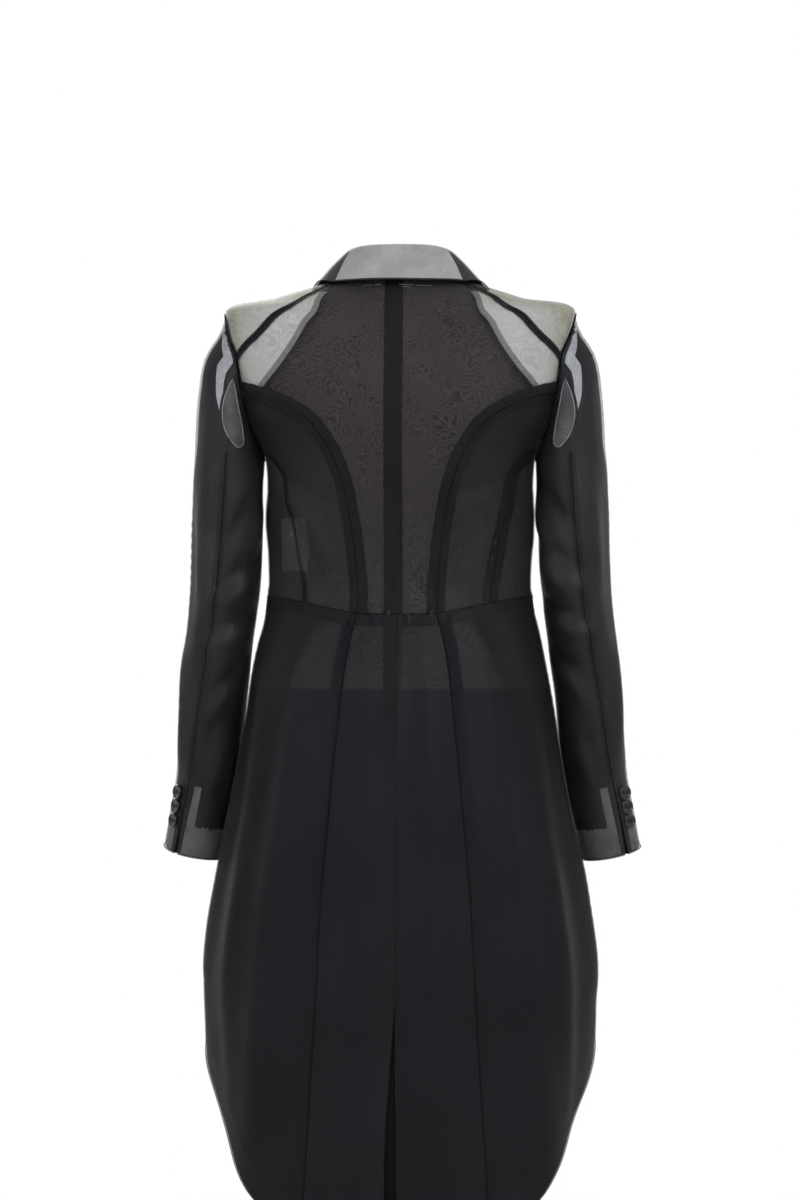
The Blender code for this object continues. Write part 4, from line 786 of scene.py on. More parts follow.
def sleeve_relief(uv, side):
    """The sleeve's creases, which die out at the armhole."""
    uv = np.column_stack([np.mod(uv[:, 0], 2 * math.pi), uv[:, 1]])
    drop = body_point(armhole_at(np.degrees(uv[:, 0])))[:, 2] - uv[:, 1]
    relief = SLEEVE_CREASE_GAIN * crease_relief(uv, side, SLEEVE_CREASES, SLEEVE_RADIUS)
    return (relief + soft_waves(uv, side, SLEEVE_RADIUS)) * ease(drop / 0.035)


def placed(surface, uv, side, lift):
    """Points lifted off the creased cloth of one side. lift is a number, one number for each point,
    or a function of (angle, level)."""
    relief = (body_relief if surface is body_point else sleeve_relief)(uv, side)
    height = lift(uv) if callable(lift) else lift
    points = surface(uv) + normals(surface, uv) * (relief + height)[:, None]
    return points * [side, 1, 1]


def angle_radius(surface):
    return BODY_RADIUS if surface is body_point else SLEEVE_RADIUS


def anticlockwise(outline):
    return outline[::-1] if polygon_area(outline) < 0 else outline


def resample(outline, step, surface):
    """The closed outline with points about a step apart on the surface."""
    closed = np.vstack([outline, outline[:1]])
    out = []
    for a, b in zip(closed[:-1], closed[1:]):
        reach = np.linalg.norm(surface(b[None]) - surface(a[None]))
        count = max(1, int(round(reach / step)))
        for share in np.arange(count) / count:
            out.append(a + (b - a) * share)
    return np.array(out)


def fill(outline, spacing, radius):
    """Fills an outline with triangles: (angle, level) points and the triangles."""
    scale = np.array([radius / spacing, 1 / spacing])
    scaled = outline * scale
    points = np.vstack([scaled, hex_points(scaled)])
    count = len(outline)
    edges = [(i, (i + 1) % count) for i in range(count)]
    points = [tuple(p) for p in points]
    flat, _, faces = delaunay_2d_cdt(points, edges, [list(range(count))], 1, 1e-7)[:3]
    return np.array([tuple(p) for p in flat]) / scale, [tuple(f) for f in faces]


def add_mesh(name, points, faces, material, uv=None, slot="organza"):
    """Makes one piece that rides on the garment."""
    mesh = bpy.data.meshes.new(name)
    mesh.from_pydata([tuple(p) for p in points], [], [tuple(f) for f in faces])
    if uv is not None:
        cloth = mesh.uv_layers.new(name="cloth")
        corners = np.zeros(len(mesh.loops), int)
        mesh.loops.foreach_get("vertex_index", corners)
        cloth.data.foreach_set("uv", np.asarray(uv)[corners].ravel())
    mesh.materials.append(material)
    mesh.shade_smooth()
    made = bpy.data.objects.new(name, mesh)
    bpy.context.scene.collection.objects.link(made)
    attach(made, "root")
    return made


def sheet_area(points, faces):
    """Area of a mesh of triangles."""
    a, b, c = (np.asarray(points)[[f[i] for f in faces]] for i in range(3))
    return 0.5 * np.linalg.norm(np.cross(b - a, c - a), axis=1).sum()


filled = {}  # outlines already filled with triangles


def layer(name, surface, outline, side, material, lift=0.0, spacing=OUTER_MESH, slot="organza"):
    """One layer of cloth on a surface, inside an outline."""
    radius = angle_radius(surface)
    key = (np.round(outline, 5).tobytes(), spacing)
    if key not in filled:
        filled[key] = fill(resample(np.asarray(outline), spacing, surface), spacing, radius)
    uv, faces = filled[key]
    points = placed(surface, uv, side, lift)
    if side < 0:
        faces = [f[::-1] for f in faces]
    return add_mesh(name, points, faces, material, uv * [radius * side, 1], slot)


BENT_SHARE = 0.42  # a strip that fills less of its rectangle is bent, and stated by its mean width
MEAN_WIDTH_FILL = 0.9  # how much of its length a bent strip fills at its mean width
MOST_FILL = 0.98  # the rectangle is enlarged until the cloth fills no more of it than this


def cut(piece):
    """Works out the flat size that a sheet's own outline spans along the surface, and keeps none of it."""
    mesh = piece.data
    points = np.array([v.co for v in mesh.vertices])
    faces = []
    for polygon in mesh.polygons:
        corners = list(polygon.vertices)
        faces += [(corners[0], corners[i], corners[i + 1]) for i in range(1, len(corners) - 1)]
    uv = np.array([loop.uv for loop in mesh.uv_layers[0].data])
    width, length = np.ptp(uv, axis=0)
    area = sheet_area(points, faces)
    if area < BENT_SHARE * width * length:
        width = area / (MEAN_WIDTH_FILL * length)
    scale = max(1.0, math.sqrt(area / (MOST_FILL * width * length)))
    width, length = round(width * scale + 5e-4, 3), round(length * scale + 5e-4, 3)
    area = round(min(area, width * length), 5)


def sideways(line, surface):
    """Unit steps to the left of an open line, in (angle, level) per metre on the surface."""
    across = (surface(line + [1e-4, 0]) - surface(line - [1e-4, 0])) / 2e-4
    along = (surface(line + [0, 1e-5]) - surface(line - [0, 1e-5])) / 2e-5
    slopes = np.stack([across, along], 2)
    metric = np.einsum("nij,nik->njk", slopes, slopes) + 1e-9 * np.eye(2)
    to_flat = np.transpose(np.linalg.cholesky(metric), (0, 2, 1))
    run = np.einsum("nij,nj->ni", to_flat, np.gradient(line, axis=0))
    run /= np.linalg.norm(run, axis=1, keepdims=True)
    left = np.stack([-run[:, 1], run[:, 0]], 1)
    return np.linalg.solve(to_flat, left[:, :, None])[:, :, 0]


def thin_out(line, step, surface):
    """The open line with points about a step apart."""
    return even_points(line, lengths_along(surface(line)), step)


def strip(name, surface, line, side, material, left, right, lift, rows, ragged=0.0):
    """A strip of cloth along a line, reaching left and right of it."""
    line = thin_out(np.asarray(line), STEP * 0.8, surface)
    step = sideways(line, surface)
    number = np.arange(len(line))
    uneven = ragged * (np.sin(number * 1.9) + 0.6 * np.sin(number * 3.7 + 1) + 0.4 * np.sin(number * 0.7))
    widths = np.repeat(np.linspace(-right, left, rows)[:, None], len(line), axis=1)
    widths[-1] += uneven
    uv = (line + step * widths[:, :, None]).reshape(-1, 2)
    points = placed(surface, uv, side, lift)
    count = len(line)
    faces = []
    for row in range(rows - 1):
        for i in range(count - 1):
            a, b = row * count + i, row * count + i + 1
            faces.append((a, b, b + count, a + count) if side > 0 else (a, a + count, b + count, b))
    return add_mesh(name, points, faces, material, uv * [angle_radius(surface) * side, 1])


def tube(name, points, radius, material, closed=False, slot="organza"):
    """A fine round cord through points."""
    points = np.asarray(points)
    if closed:
        run = np.roll(points, -1, 0) - np.roll(points, 1, 0)
    else:
        run = np.gradient(points, axis=0)
    run /= np.linalg.norm(run, axis=1, keepdims=True)
    aid = np.where(np.abs(run[:, 2:3]) < 0.8, [[0.0, 0.0, 1.0]], [[0.0, 1.0, 0.0]])
    first = np.cross(run, aid)
    first /= np.linalg.norm(first, axis=1, keepdims=True)
    second = np.cross(run, first)
    rings = []
    for turn in np.linspace(0, 2 * math.pi, CORD_SIDES, endpoint=False):
        rings.append(points + radius * (first * math.cos(turn) + second * math.sin(turn)))
    rings = np.stack(rings, 1)
    count = len(points)
    faces = []
    for i in range(count if closed else count - 1):
        this, other = i * CORD_SIDES, (i + 1) % count * CORD_SIDES
        for j in range(CORD_SIDES):
            k = (j + 1) % CORD_SIDES
            faces.append((this + j, this + k, other + k, other + j))
    if not closed:
        faces.append(tuple(range(CORD_SIDES - 1, -1, -1)))
        faces.append(tuple((count - 1) * CORD_SIDES + j for j in range(CORD_SIDES)))
    return add_mesh(name, rings.reshape(-1, 3), faces, material, None, slot)


def edge_bead(name, surface, line, side, material, lift, radius=BEAD):
    """The fine dark line of a sewn or turned edge."""
    line = thin_out(np.asarray(line), STEP * 0.7, surface)
    return tube(name, placed(surface, line, side, lift), radius, material)


# ---- materials --------------------------------------------------------------------------------


class Nodes:
    """Short hands for a material's nodes."""

    def __init__(self, name):
        self.material = bpy.data.materials.new(name)
        self.material.use_nodes = True
        self.tree = self.material.node_tree
        self.shader = self.tree.nodes["Principled BSDF"]

    def add(self, kind, **values):
        node = self.tree.nodes.new(kind)
        for key, value in values.items():
            if hasattr(node, key):
                setattr(node, key, value)
            else:
                node.inputs[key.replace("_", " ")].default_value = value
        return node

    def link(self, start, end):
        self.tree.links.new(start, end)

    def finish(self, **values):
        """Sets uniform values on the shader's own sockets and gives the material."""
        for key, value in values.items():
            self.shader.inputs[key.replace("_", " ")].default_value = value
        return self.material

    def cloth_place(self):
        """The cloth's own coordinates, in metres along it."""
        return self.add("ShaderNodeTexCoord").outputs["UV"]

    def object_place(self):
        return self.add("ShaderNodeTexCoord").outputs["Object"]

    def axis(self, place, letter):
        """One coordinate of a place."""
        node = self.add("ShaderNodeSeparateXYZ")
        self.link(place, node.inputs[0])
        return node.outputs[letter]

    def reach(self, value, low, high, least=0.0):
        """least at low, 1 at high, and even between."""
        node = self.add("ShaderNodeMapRange", From_Min=low, From_Max=high, To_Min=least)
        self.link(value, node.inputs["Value"])
        return node.outputs[0]

    def math(self, operation, first, second):
        node = self.add("ShaderNodeMath", operation=operation)
        for socket, value in zip(node.inputs, (first, second)):
            if isinstance(value, (int, float)):
                socket.default_value = value
            else:
                self.link(value, socket)
        return node.outputs[0]

    def around_zero(self, value, strength):
        """A value from 0 to 1, turned into one from minus half to half of strength."""
        return self.math("MULTIPLY", self.math("SUBTRACT", value, 0.5), strength)

    def ramp(self, value, stops):
        node = self.add("ShaderNodeValToRGB")
        ramp = node.color_ramp
        while len(ramp.elements) < len(stops):
            ramp.elements.new(0.5)
        for element, (position, colour) in zip(ramp.elements, stops):
            element.position = position
            element.color = (*colour, 1.0)
        self.link(value, node.inputs[0])
        return node.outputs[0]

    def colour(self, value):
        self.link(value, self.shader.inputs["Base Color"])

    def noise(self, place, scale, detail=3.0, distortion=0.0):
        node = self.add("ShaderNodeTexNoise", Scale=scale, Detail=detail, Distortion=distortion)
        self.link(place, node.inputs["Vector"])
        return node.outputs["Fac"]

    def wave(self, place, scale, direction, distortion=0.0, detail=0.0, detail_scale=1.0):
        node = self.add("ShaderNodeTexWave", bands_direction=direction, Scale=scale,
                        Distortion=distortion, Detail=detail, Detail_Scale=detail_scale)
        self.link(place, node.inputs["Vector"])
        return node.outputs["Fac"]

    def weave(self, place, scale):
        """A plain weave."""
        return self.math("MULTIPLY", self.wave(place, scale, "X"), self.wave(place, scale, "Y"))

    def watered(self, place):
        """The wood-grain figure of two layers of fine cloth, from -0.5 to 0.5, strong in places."""
        rings = self.wave(place, 48.0, "DIAGONAL", 38.0, 2.0, 0.60)
        where = self.ramp(self.noise(place, 16.0, 2.0), ((0.36, grey(0.15)), (0.74, grey(1.0))))
        return self.around_zero(rings, where)

    def bump(self, height, strength, distance):
        node = self.add("ShaderNodeBump", Strength=strength, Distance=distance)
        self.link(height, node.inputs["Height"])
        self.link(node.outputs["Normal"], self.shader.inputs["Normal"])


def grey(value):
    return (value, value, value)


def organza(name, dark, light, alpha, figured, sheen=0.04, roughness=0.62, gloss=0.12):
    """Sheer cloth: a fine weave, soft cloudiness and the watered figure of two layers, by which it
    covers more and less."""
    made = Nodes(name)
    place = made.cloth_place()
    cloud = made.noise(place, 9.0, 4.0)
    tone = made.math("ADD", cloud, made.math("MULTIPLY", made.weave(place, 300.0), 0.15))
    made.colour(made.ramp(tone, ((0.3, dark), (0.8, light))))
    watered = made.math("MULTIPLY", made.watered(place), figured)
    cover = made.math("ADD", made.math("ADD", watered, made.around_zero(cloud, 0.10)), alpha)
    made.link(cover, made.shader.inputs["Alpha"])
    made.bump(cloud, 0.15, 0.0003)
    return made.finish(Roughness=roughness, Sheen_Weight=sheen, Sheen_Roughness=0.4,
                       Specular_IOR_Level=gloss)


def lining(name, stops, figured=0.50, patches=0.5, shade=None):
    """The denser dark layer. stops are (level, colour) from low to high, and its watered figure is
    paler by the share figured. shade gives two depths of the body between which it darkens."""
    made = Nodes(name)
    place = made.cloth_place()
    low, high = stops[0][0], stops[-1][0]
    tone = made.ramp(made.reach(made.axis(place, "Y"), low, high),
                     [((level - low) / (high - low), colour) for level, colour in stops])
    cloud = made.noise(place, 11.0, 4.0)
    watered = made.math("MULTIPLY", made.watered(place), figured)
    strength = made.math("ADD", made.math("ADD", watered, made.around_zero(cloud, patches)), 1.0)
    if shade:
        towards_back = made.reach(made.axis(made.object_place(), "Y"), *shade, 0.30)
        strength = made.math("MULTIPLY", strength, towards_back)
    paler = made.add("ShaderNodeVectorMath", operation="SCALE")
    made.link(tone, paler.inputs[0])
    made.link(strength, paler.inputs["Scale"])
    made.colour(paler.outputs[0])
    made.bump(cloud, 0.2, 0.0004)
    return made.finish(Roughness=0.8, Specular_IOR_Level=0.05)


def felt(name, low, high, scale=60.0, whiter=None):
    """Soft felted stuffing that shows through the cloth. whiter is its colour on the back."""
    made = Nodes(name)
    place = made.object_place()
    drawn = made.math("MULTIPLY", made.wave(place, 75.0, "DIAGONAL", 5.0, 3.0, 2.0), 0.22)
    tone = made.math("ADD", made.noise(place, scale, 6.0, 0.4), drawn)
    colour = made.ramp(tone, ((0.35, low), (0.88, high)))
    if whiter:
        depth = made.math("MULTIPLY", made.axis(place, "Y"), 10.0)
        mix = made.add("ShaderNodeMix", data_type="RGBA")
        made.link(made.ramp(depth, ((0.35, grey(0)), (0.6, grey(1)))), mix.inputs["Factor"])
        made.link(colour, mix.inputs[6])
        mix.inputs[7].default_value = (*whiter, 1.0)
        colour = mix.outputs[2]
    made.colour(colour)
    made.bump(made.math("ADD", tone, made.noise(place, scale * 14, 3.0, 1.5)), 0.5, 0.0008)
    return made.finish(Roughness=0.9, Sheen_Weight=0.2)


def woven(name, low, high, alpha, pitch=260.0):
    """Open stiffener cloth with a plain weave."""
    made = Nodes(name)
    place = made.cloth_place()
    weave = made.weave(place, pitch)
    tone = made.math("ADD", made.noise(place, 24.0, 4.0), made.math("MULTIPLY", weave, 0.25))
    made.colour(made.ramp(tone, ((0.35, low), (0.85, high))))
    made.bump(weave, 0.4, 0.0004)
    return made.finish(Roughness=0.85, Alpha=alpha)


def thread(name, colour):
    """Twisted thread, and cloth edges as fine as thread."""
    made = Nodes(name)
    twist = made.wave(made.object_place(), 900.0, "Z", 1.0)
    made.colour(made.ramp(twist, ((0.2, tuple(0.6 * c for c in colour)), (0.8, colour))))
    made.bump(twist, 0.3, 0.0002)
    return made.finish(Roughness=0.7, Specular_IOR_Level=0.05)


def horn(name):
    """Glossy black button stuff with faint streaks."""
    made = Nodes(name)
    place = made.object_place()
    streak = made.noise(place, 180.0, 4.0, 1.0)
    made.colour(made.ramp(streak, ((0.3, (0.004, 0.004, 0.005)), (0.8, (0.014, 0.013, 0.014)))))
    rough = made.ramp(made.noise(place, 500.0), ((0.3, grey(0.10)), (0.8, grey(0.22))))
    made.link(rough, made.shader.inputs["Roughness"])
    return made.finish(Specular_IOR_Level=0.25, Coat_Weight=0.2, Coat_Roughness=0.06)


OUTER = organza("organza_outer", (0.006, 0.006, 0.007), (0.011, 0.011, 0.013), 0.44,
                figured=0.13, sheen=0.03, roughness=0.50, gloss=0.13)
SKIRT_OUTER = organza("organza_skirt", (0.005, 0.005, 0.007), (0.009, 0.009, 0.012), 0.55,
                      figured=0.05, roughness=0.55, gloss=0.14)
SLEEVE_OUTER = organza("organza_sleeve", (0.006, 0.006, 0.008), (0.012, 0.012, 0.015), 0.44,
                       figured=0.10, sheen=0.05, roughness=0.46, gloss=0.24)
COLLAR_OUTER = organza("organza_collar", (0.045, 0.045, 0.048), (0.075, 0.075, 0.080), 0.34,
                       figured=0.08, sheen=0.2)
ALLOWANCE = organza("organza_allowance", (0.003, 0.003, 0.004), (0.006, 0.006, 0.008), 0.93,
                    figured=0.02, sheen=0.02, roughness=0.7, gloss=0.05)
FACING = organza("organza_facing", (0.005, 0.005, 0.007), (0.008, 0.008, 0.011), 0.55, figured=0.03)
EDGING = organza("organza_edging", grey(0.050), grey(0.080), 0.42, figured=0.03)

# Dark layers: (level, colour) from low to high.
UNDERLAP = lining("lining_underlap", (
    (-1.100, (0.003, 0.003, 0.004)), (-0.700, (0.005, 0.005, 0.007)),
    (-0.480, (0.008, 0.008, 0.010)), (-0.390, (0.006, 0.006, 0.008))))
UNDER_BACK = lining("lining_back", (
    (-0.400, (0.048, 0.043, 0.042)), (-0.250, (0.050, 0.042, 0.041)),
    (-0.050, (0.067, 0.055, 0.053)), (0.095, (0.056, 0.048, 0.047))), figured=1.2)
UNDER_SIDE = lining("lining_side", (
    (-0.390, (0.040, 0.036, 0.036)), (-0.300, (0.031, 0.029, 0.029)),
    (-0.180, (0.013, 0.013, 0.015)), (-0.100, (0.008, 0.008, 0.010))), figured=0.80, patches=1.1)
UNDER_FRONT = lining("lining_front", (
    (-0.400, (0.030, 0.028, 0.028)), (0.095, (0.036, 0.033, 0.033))), figured=0.8)
SLEEVE_UNDER = lining("lining_sleeve", (
    (-0.670, (0.024, 0.024, 0.027)), (-0.520, (0.014, 0.013, 0.014)),
    (-0.300, (0.034, 0.031, 0.029)), (-0.050, (0.013, 0.013, 0.016))), figured=0.60, patches=2.4)
UNDER = lining("lining_collar", ((-0.400, (0.012, 0.012, 0.013)), (0.100, (0.016, 0.016, 0.017))))
# Depths of the body between which the skirt's paler band below the waist fades towards the front.
GLIMPSE_DEPTHS = [float(body_point(np.array([[math.radians(degrees), -0.43]]))[0, 1])
                  for degrees in (37, 43)]
SKIRT_UNDER = lining("lining_skirt", (
    (-1.100, (0.003, 0.003, 0.004)), (-0.700, (0.0055, 0.0055, 0.0085)),
    (-0.4735, (0.0085, 0.0085, 0.0125)), (-0.4715, (0.040, 0.037, 0.036)),
    (-0.390, (0.034, 0.032, 0.032))), figured=0.9, patches=0.6, shade=GLIMPSE_DEPTHS)

SEWN = thread("sewn_edge", (0.004, 0.004, 0.005))
SOFT_EDGE = thread("centre_edge", (0.010, 0.010, 0.012))
PALE_THREAD = thread("basting_thread", (0.36, 0.37, 0.37))
PALE_EDGE = thread("canvas_edge", (0.22, 0.22, 0.24))
CUFF_EDGE = thread("cuff_rolled_edge", (0.16, 0.16, 0.17))
PADDING = felt("shoulder_padding", (0.47, 0.450, 0.34), (0.78, 0.755, 0.60), whiter=(0.80, 0.81, 0.79))
WADDING = felt("sleeve_wadding", (0.52, 0.55, 0.60), (0.72, 0.75, 0.80), 90.0)
CANVAS = woven("sleeve_canvas", (0.07, 0.07, 0.075), (0.25, 0.25, 0.265), 0.88)
STIFFENER = woven("interfacing", (0.34, 0.35, 0.35), (0.58, 0.59, 0.59), 0.93)
CUFF_STIFFENER = woven("cuff_interfacing", (0.20, 0.21, 0.22), (0.42, 0.43, 0.45), 0.55)
LABEL = woven("care_label", (0.12, 0.12, 0.13), (0.22, 0.22, 0.23), 0.22, 500.0)
BUTTON = horn("button_black")


# ---- the bodice and the skirt -----------------------------------------------------------------

# Widths of the seam allowances to the left and the right of their seams. Where the wearer's left (1)
# and right (-1) differ, the allowance is pressed towards one side.
CENTRE_ALLOWANCE = {1: 0.0155, -1: 0.0060}
PRINCESS_ALLOWANCE = (0.0120, 0.0095)
SIDE_ALLOWANCE = {1: 0.0035, -1: 0.0100}
SHOULDER_ALLOWANCE = (0.0050, 0.0045)
SHOULDER_ALLOWANCE_DROP = 0.0008
WAIST_ALLOWANCE = 0.0150
TAIL_HEM, FLANK_HEM = 0.022, 0.026  # widths of the hems
TRIM_DROP = 0.0006  # depth of the strips under the skirt's back
FLANK_TRIM_DROP = 0.0010
TRIM_LIFT = 0.0002  # height of the turned edges' cords
PLEAT_FOLD_WIDTH = 0.014
PLEAT_FOLD_END = -0.478  # level down to which the pleat's fold is laid double
CENTRE_ALLOWANCE_END = -0.500
VENT_TOP = -0.600
# The vent's left facing, and the right edge that runs on under the left one: left, right, drop.
VENT_STRIP = {1: (0.0, 0.020, 0.0006), -1: (0.026, 0.046, 0.0040)}
FRONT_DEGREES = -93  # where the waist seam and the hem reach the front edge
LAPEL_UNDER_DROP = 0.0009
LAPEL_CLEAR = 0.0012  # how far the dressed lapel lies over the solids' one
LAPEL_SOFTNESS = 0.0022  # how far it bulges between its roll and its edge
PAD_ROOM = 0.0110  # room that the shoulder pad and the sleeve's head take under the outer layer
PLEAT_HIDDEN = 0.016  # width of the skirt's side that is hidden in the pleat


def side_name(side):
    return "left" if side > 0 else "right"


def pad_depth(uv):
    """How much deeper the under layer lies where the shoulder pad and the sleeve's head are."""
    x, _, z = body_point(uv).T
    return PAD_ROOM * ease((x - 0.066) / 0.050) * ease((z + 0.150) / 0.022)


def lap(uv, side):
    """How far one side's cloth steps in to lie under the other's."""
    return underlap(uv) if side < 0 else np.zeros(len(uv))


def lapped(side, drop=0.0):
    """A lift that follows the underlap, drop below it."""
    return lambda uv: lap(uv, side) - drop


def outline_back():
    waist = waist_curve(math.degrees(PRINCESS[-1, 0]), 90)
    upper = armhole_part(SHOULDER_PLACE, PRINCESS_PLACE)
    neck = neck_curve(math.pi / 2, SHOULDER[0, 0])
    return join(waist, centre_back(), neck, SHOULDER, upper, PRINCESS)


def outline_side_back():
    waist = waist_curve(math.degrees(SIDE[-1, 0]), math.degrees(PRINCESS[-1, 0]))
    return join(waist, PRINCESS[::-1], armhole_part(PRINCESS_PLACE, SIDE_PLACE), SIDE)


def outline_front():
    waist = waist_curve(math.degrees(break_point()[0]), math.degrees(SIDE[-1, 0]))
    neck = neck_curve(SHOULDER[0, 0], COLLAR_END)
    hole = armhole_part(SIDE_PLACE, ROUND + SHOULDER_PLACE)
    return join(waist, SIDE[::-1], hole, SHOULDER[::-1], neck, roll_line()[::-1])


def outline_lapel():
    edge = [locate_past_centre(*LAPEL_EDGE[0])] + [locate(x, z, front=True) for x, z in LAPEL_EDGE[1:]]
    edge = curve_through(edge, STEP)
    notch = locate(*LAPEL_NOTCH, front=True)
    gorge = locate(*LAPEL_GORGE_END, front=True)
    inner = roll_line()
    inner = inner[inner[:, 1] < gorge[1] - 0.004]
    return anticlockwise(join(inner[:1], edge[1:], [notch], [gorge], inner[::-1]))


def lapel_lift(uv, side, above=0.0):
    """Height of the turned-back lapel over its front, soft along the roll and towards its edge."""
    x, _, z = body_point(uv).T
    share = (z - BREAK_Z) / (ROLL_TOP[1] - BREAK_Z)
    beside = x - FRONT_EDGE_X - share * (ROLL_TOP[0] - FRONT_EDGE_X)
    away = LAPEL_LIFT + LAPEL_LIFT_ABOVE * ease((uv[:, 1] + 0.20) / 0.10) + LAPEL_CLEAR
    soft = LAPEL_SOFTNESS * ease((beside - 0.012) / 0.030) * ease((0.080 - beside) / 0.040)
    height = LAPEL_ROLL_LIFT + (away + soft) * ease((beside + 0.001) / 0.020)
    return above + height + lap(uv, side)


def tail_hem(side):
    return skirt_edge_curve(math.degrees(PLEAT[-1, 0]), math.degrees(vent_edge(side)[0, 0]))


def skirt_back_outline(side):
    waist = waist_curve(90, math.degrees(PLEAT[0, 0]))
    return join(tail_hem(side), vent_edge(side), waist, PLEAT)


def skirt_side_outline():
    tuck = PLEAT_HIDDEN * ease((-0.425 - PLEAT[:, 1]) / 0.09) / BODY_RADIUS
    hidden = PLEAT + np.column_stack([tuck, np.zeros(len(PLEAT))])
    hidden[-1, 1] = read_skirt_edge(math.degrees(hidden[-1, 0]))[0, 0]
    front = math.degrees(locate_past_centre(FRONT_EDGE_X, -0.392)[0])
    hem = skirt_edge_curve(front, math.degrees(hidden[-1, 0]))
    waist = waist_curve(math.degrees(PLEAT[0, 0]), front)
    return join(hem, hidden[::-1], waist)


def flank_lift(side, drop=0.0):
    """A lift for the skirt's side, drop below its cloth."""
    return lambda uv: pleat_drop(uv) - drop + lap(uv, side)


def bodice(side):
    """Outer and under layers of the bodice's panels, and what is sewn to them."""
    end = side_name(side)
    panels = (("back", outline_back(), UNDER_BACK), ("side_back", outline_side_back(), UNDER_SIDE),
              ("front", outline_front(), UNDER_FRONT))
    outer = [layer(f"cloth_{name}_{end}", body_point, outline, side, OUTER, lapped(side))
             for name, outline, _ in panels]
    edge = outline_lapel()
    face = layer(f"cloth_lapel_{end}", body_point, edge, side, OUTER, lambda uv: lapel_lift(uv, side))
    lapel_under = layer(f"under_lapel_{end}", body_point, edge, side, UNDER,
                        lambda uv: lapel_lift(uv, side, -LAPEL_UNDER_DROP))
    under = [layer(f"under_{name}_{end}", body_point, outline, side, look,
                   lambda uv: lap(uv, side) - UNDER_DROP - pad_depth(uv))
             for name, outline, look in panels]
    width = SIDE_ALLOWANCE[side]
    for name, line, reach, drop, rows, ragged in (
        ("centre", centre_back(), (CENTRE_ALLOWANCE[side], 0.0), ALLOWANCE_DROP, 4, 0.0003),
        ("princess", PRINCESS, PRINCESS_ALLOWANCE, ALLOWANCE_DROP, 5, 0.0004),
        ("side", SIDE, (width, width), ALLOWANCE_DROP, 5, 0.0003),
        ("shoulder", SHOULDER, SHOULDER_ALLOWANCE, SHOULDER_ALLOWANCE_DROP, 4, 0.0002),
    ):
        strip(f"allowance_{name}_{end}", body_point, line, side, ALLOWANCE, *reach, -drop,
                           rows, ragged)
    for name, line in (("princess", PRINCESS), ("side", SIDE), ("shoulder", SHOULDER)):
        edge_bead(f"seam_{name}_{end}", body_point, line, side, SEWN, 0.0)
    around = np.append(KNOTS, ROUND)
    halves = np.arange(len(around) * 2 - 1) / 2
    hole = ARMHOLE(np.mod(np.interp(halves, np.arange(len(around)), around), ROUND - 1e-9))
    tube(f"seam_armhole_{end}", placed(body_point, hole, side, 0.0004), BEAD * 1.3, SEWN,
                      True)
    rim = placed(body_point, edge, side, lapel_lift(edge, side, TRIM_LIFT))
    lapel_rim = tube(f"edge_lapel_{end}", rim, BEAD, SEWN, True)
    for piece, (name, _, _) in zip(outer, panels):
        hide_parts(f"{name}_{end}")
    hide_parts(f"lapel_{end}")
    cut(outer[0])
    cut(outer[1])
    cut(outer[2])
    cut(face)
    cut(lapel_under)
    for piece in under:
        cut(piece)


def skirt(side):
    """Outer and under layers of the skirt, with its pleats, vent, facings and hem."""
    end = side_name(side)
    tail_outline, side_outline = skirt_back_outline(side), skirt_side_outline()
    tail = layer(f"cloth_skirt_back_{end}", body_point, tail_outline, side, SKIRT_OUTER)
    flank = layer(f"cloth_skirt_side_{end}", body_point, side_outline, side, SKIRT_OUTER,
                  flank_lift(side))
    under_tail = layer(f"under_skirt_back_{end}", body_point, tail_outline, side, SKIRT_UNDER,
                       -UNDER_DROP)
    under_flank = layer(f"under_skirt_side_{end}", body_point, side_outline, side, SKIRT_UNDER,
                        flank_lift(side, UNDER_DROP))
    edge = vent_edge(side)
    vent = edge[edge[:, 1] < VENT_TOP][::-1]
    vent_left, vent_right, vent_drop = VENT_STRIP[side]
    flank_hem = skirt_edge_curve(FRONT_DEGREES, math.degrees(PLEAT[-1, 0]))
    waist = waist_curve(FRONT_DEGREES, 90)
    pieces = [
        strip(f"facing_vent_{end}", body_point, vent, side, UNDERLAP if side < 0 else FACING,
              vent_left, vent_right, -vent_drop, 8),
        strip(f"hem_tail_{end}", body_point, tail_hem(side), side, FACING, TAIL_HEM, 0.0, -TRIM_DROP, 4),
        strip(f"pleat_fold_{end}", body_point, PLEAT[PLEAT[:, 1] > PLEAT_FOLD_END], side, UNDERLAP,
              0.0, PLEAT_FOLD_WIDTH, -TRIM_DROP, 4),
        strip(f"allowance_tail_{end}", body_point, edge[edge[:, 1] > CENTRE_ALLOWANCE_END], side,
              UNDERLAP, CENTRE_ALLOWANCE[side], 0.0, -TRIM_DROP, 4, 0.0003),
        edge_bead(f"pleat_edge_{end}", body_point, PLEAT, side, SEWN, TRIM_LIFT, BEAD * 1.2),
        edge_bead(f"seam_centre_{end}", body_point, edge, side, SOFT_EDGE, -TRIM_LIFT),
        edge_bead(f"edge_tail_{end}", body_point, tail_hem(side), side, SEWN, TRIM_LIFT),
    ]
    flank_pieces = [
        strip(f"hem_flank_{end}", body_point, flank_hem, side, FACING, FLANK_HEM, 0.0,
              flank_lift(side, FLANK_TRIM_DROP), 5),
        edge_bead(f"edge_flank_{end}", body_point, flank_hem, side, SEWN, flank_lift(side)),
    ]
    pieces.append(strip(f"allowance_waist_{end}", body_point, waist, side, ALLOWANCE, 0.0,
                        WAIST_ALLOWANCE, lapped(side, ALLOWANCE_DROP), 5, 0.0004))
    pieces.append(edge_bead(f"seam_waist_{end}", body_point, waist, side, SEWN, lapped(side)))
    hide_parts(f"skirt_back_{end}")
    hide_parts(f"skirt_side_{end}")
    cut(tail)
    cut(flank)
    cut(under_tail)
    cut(under_flank)


# ---- the collar -------------------------------------------------------------------------------


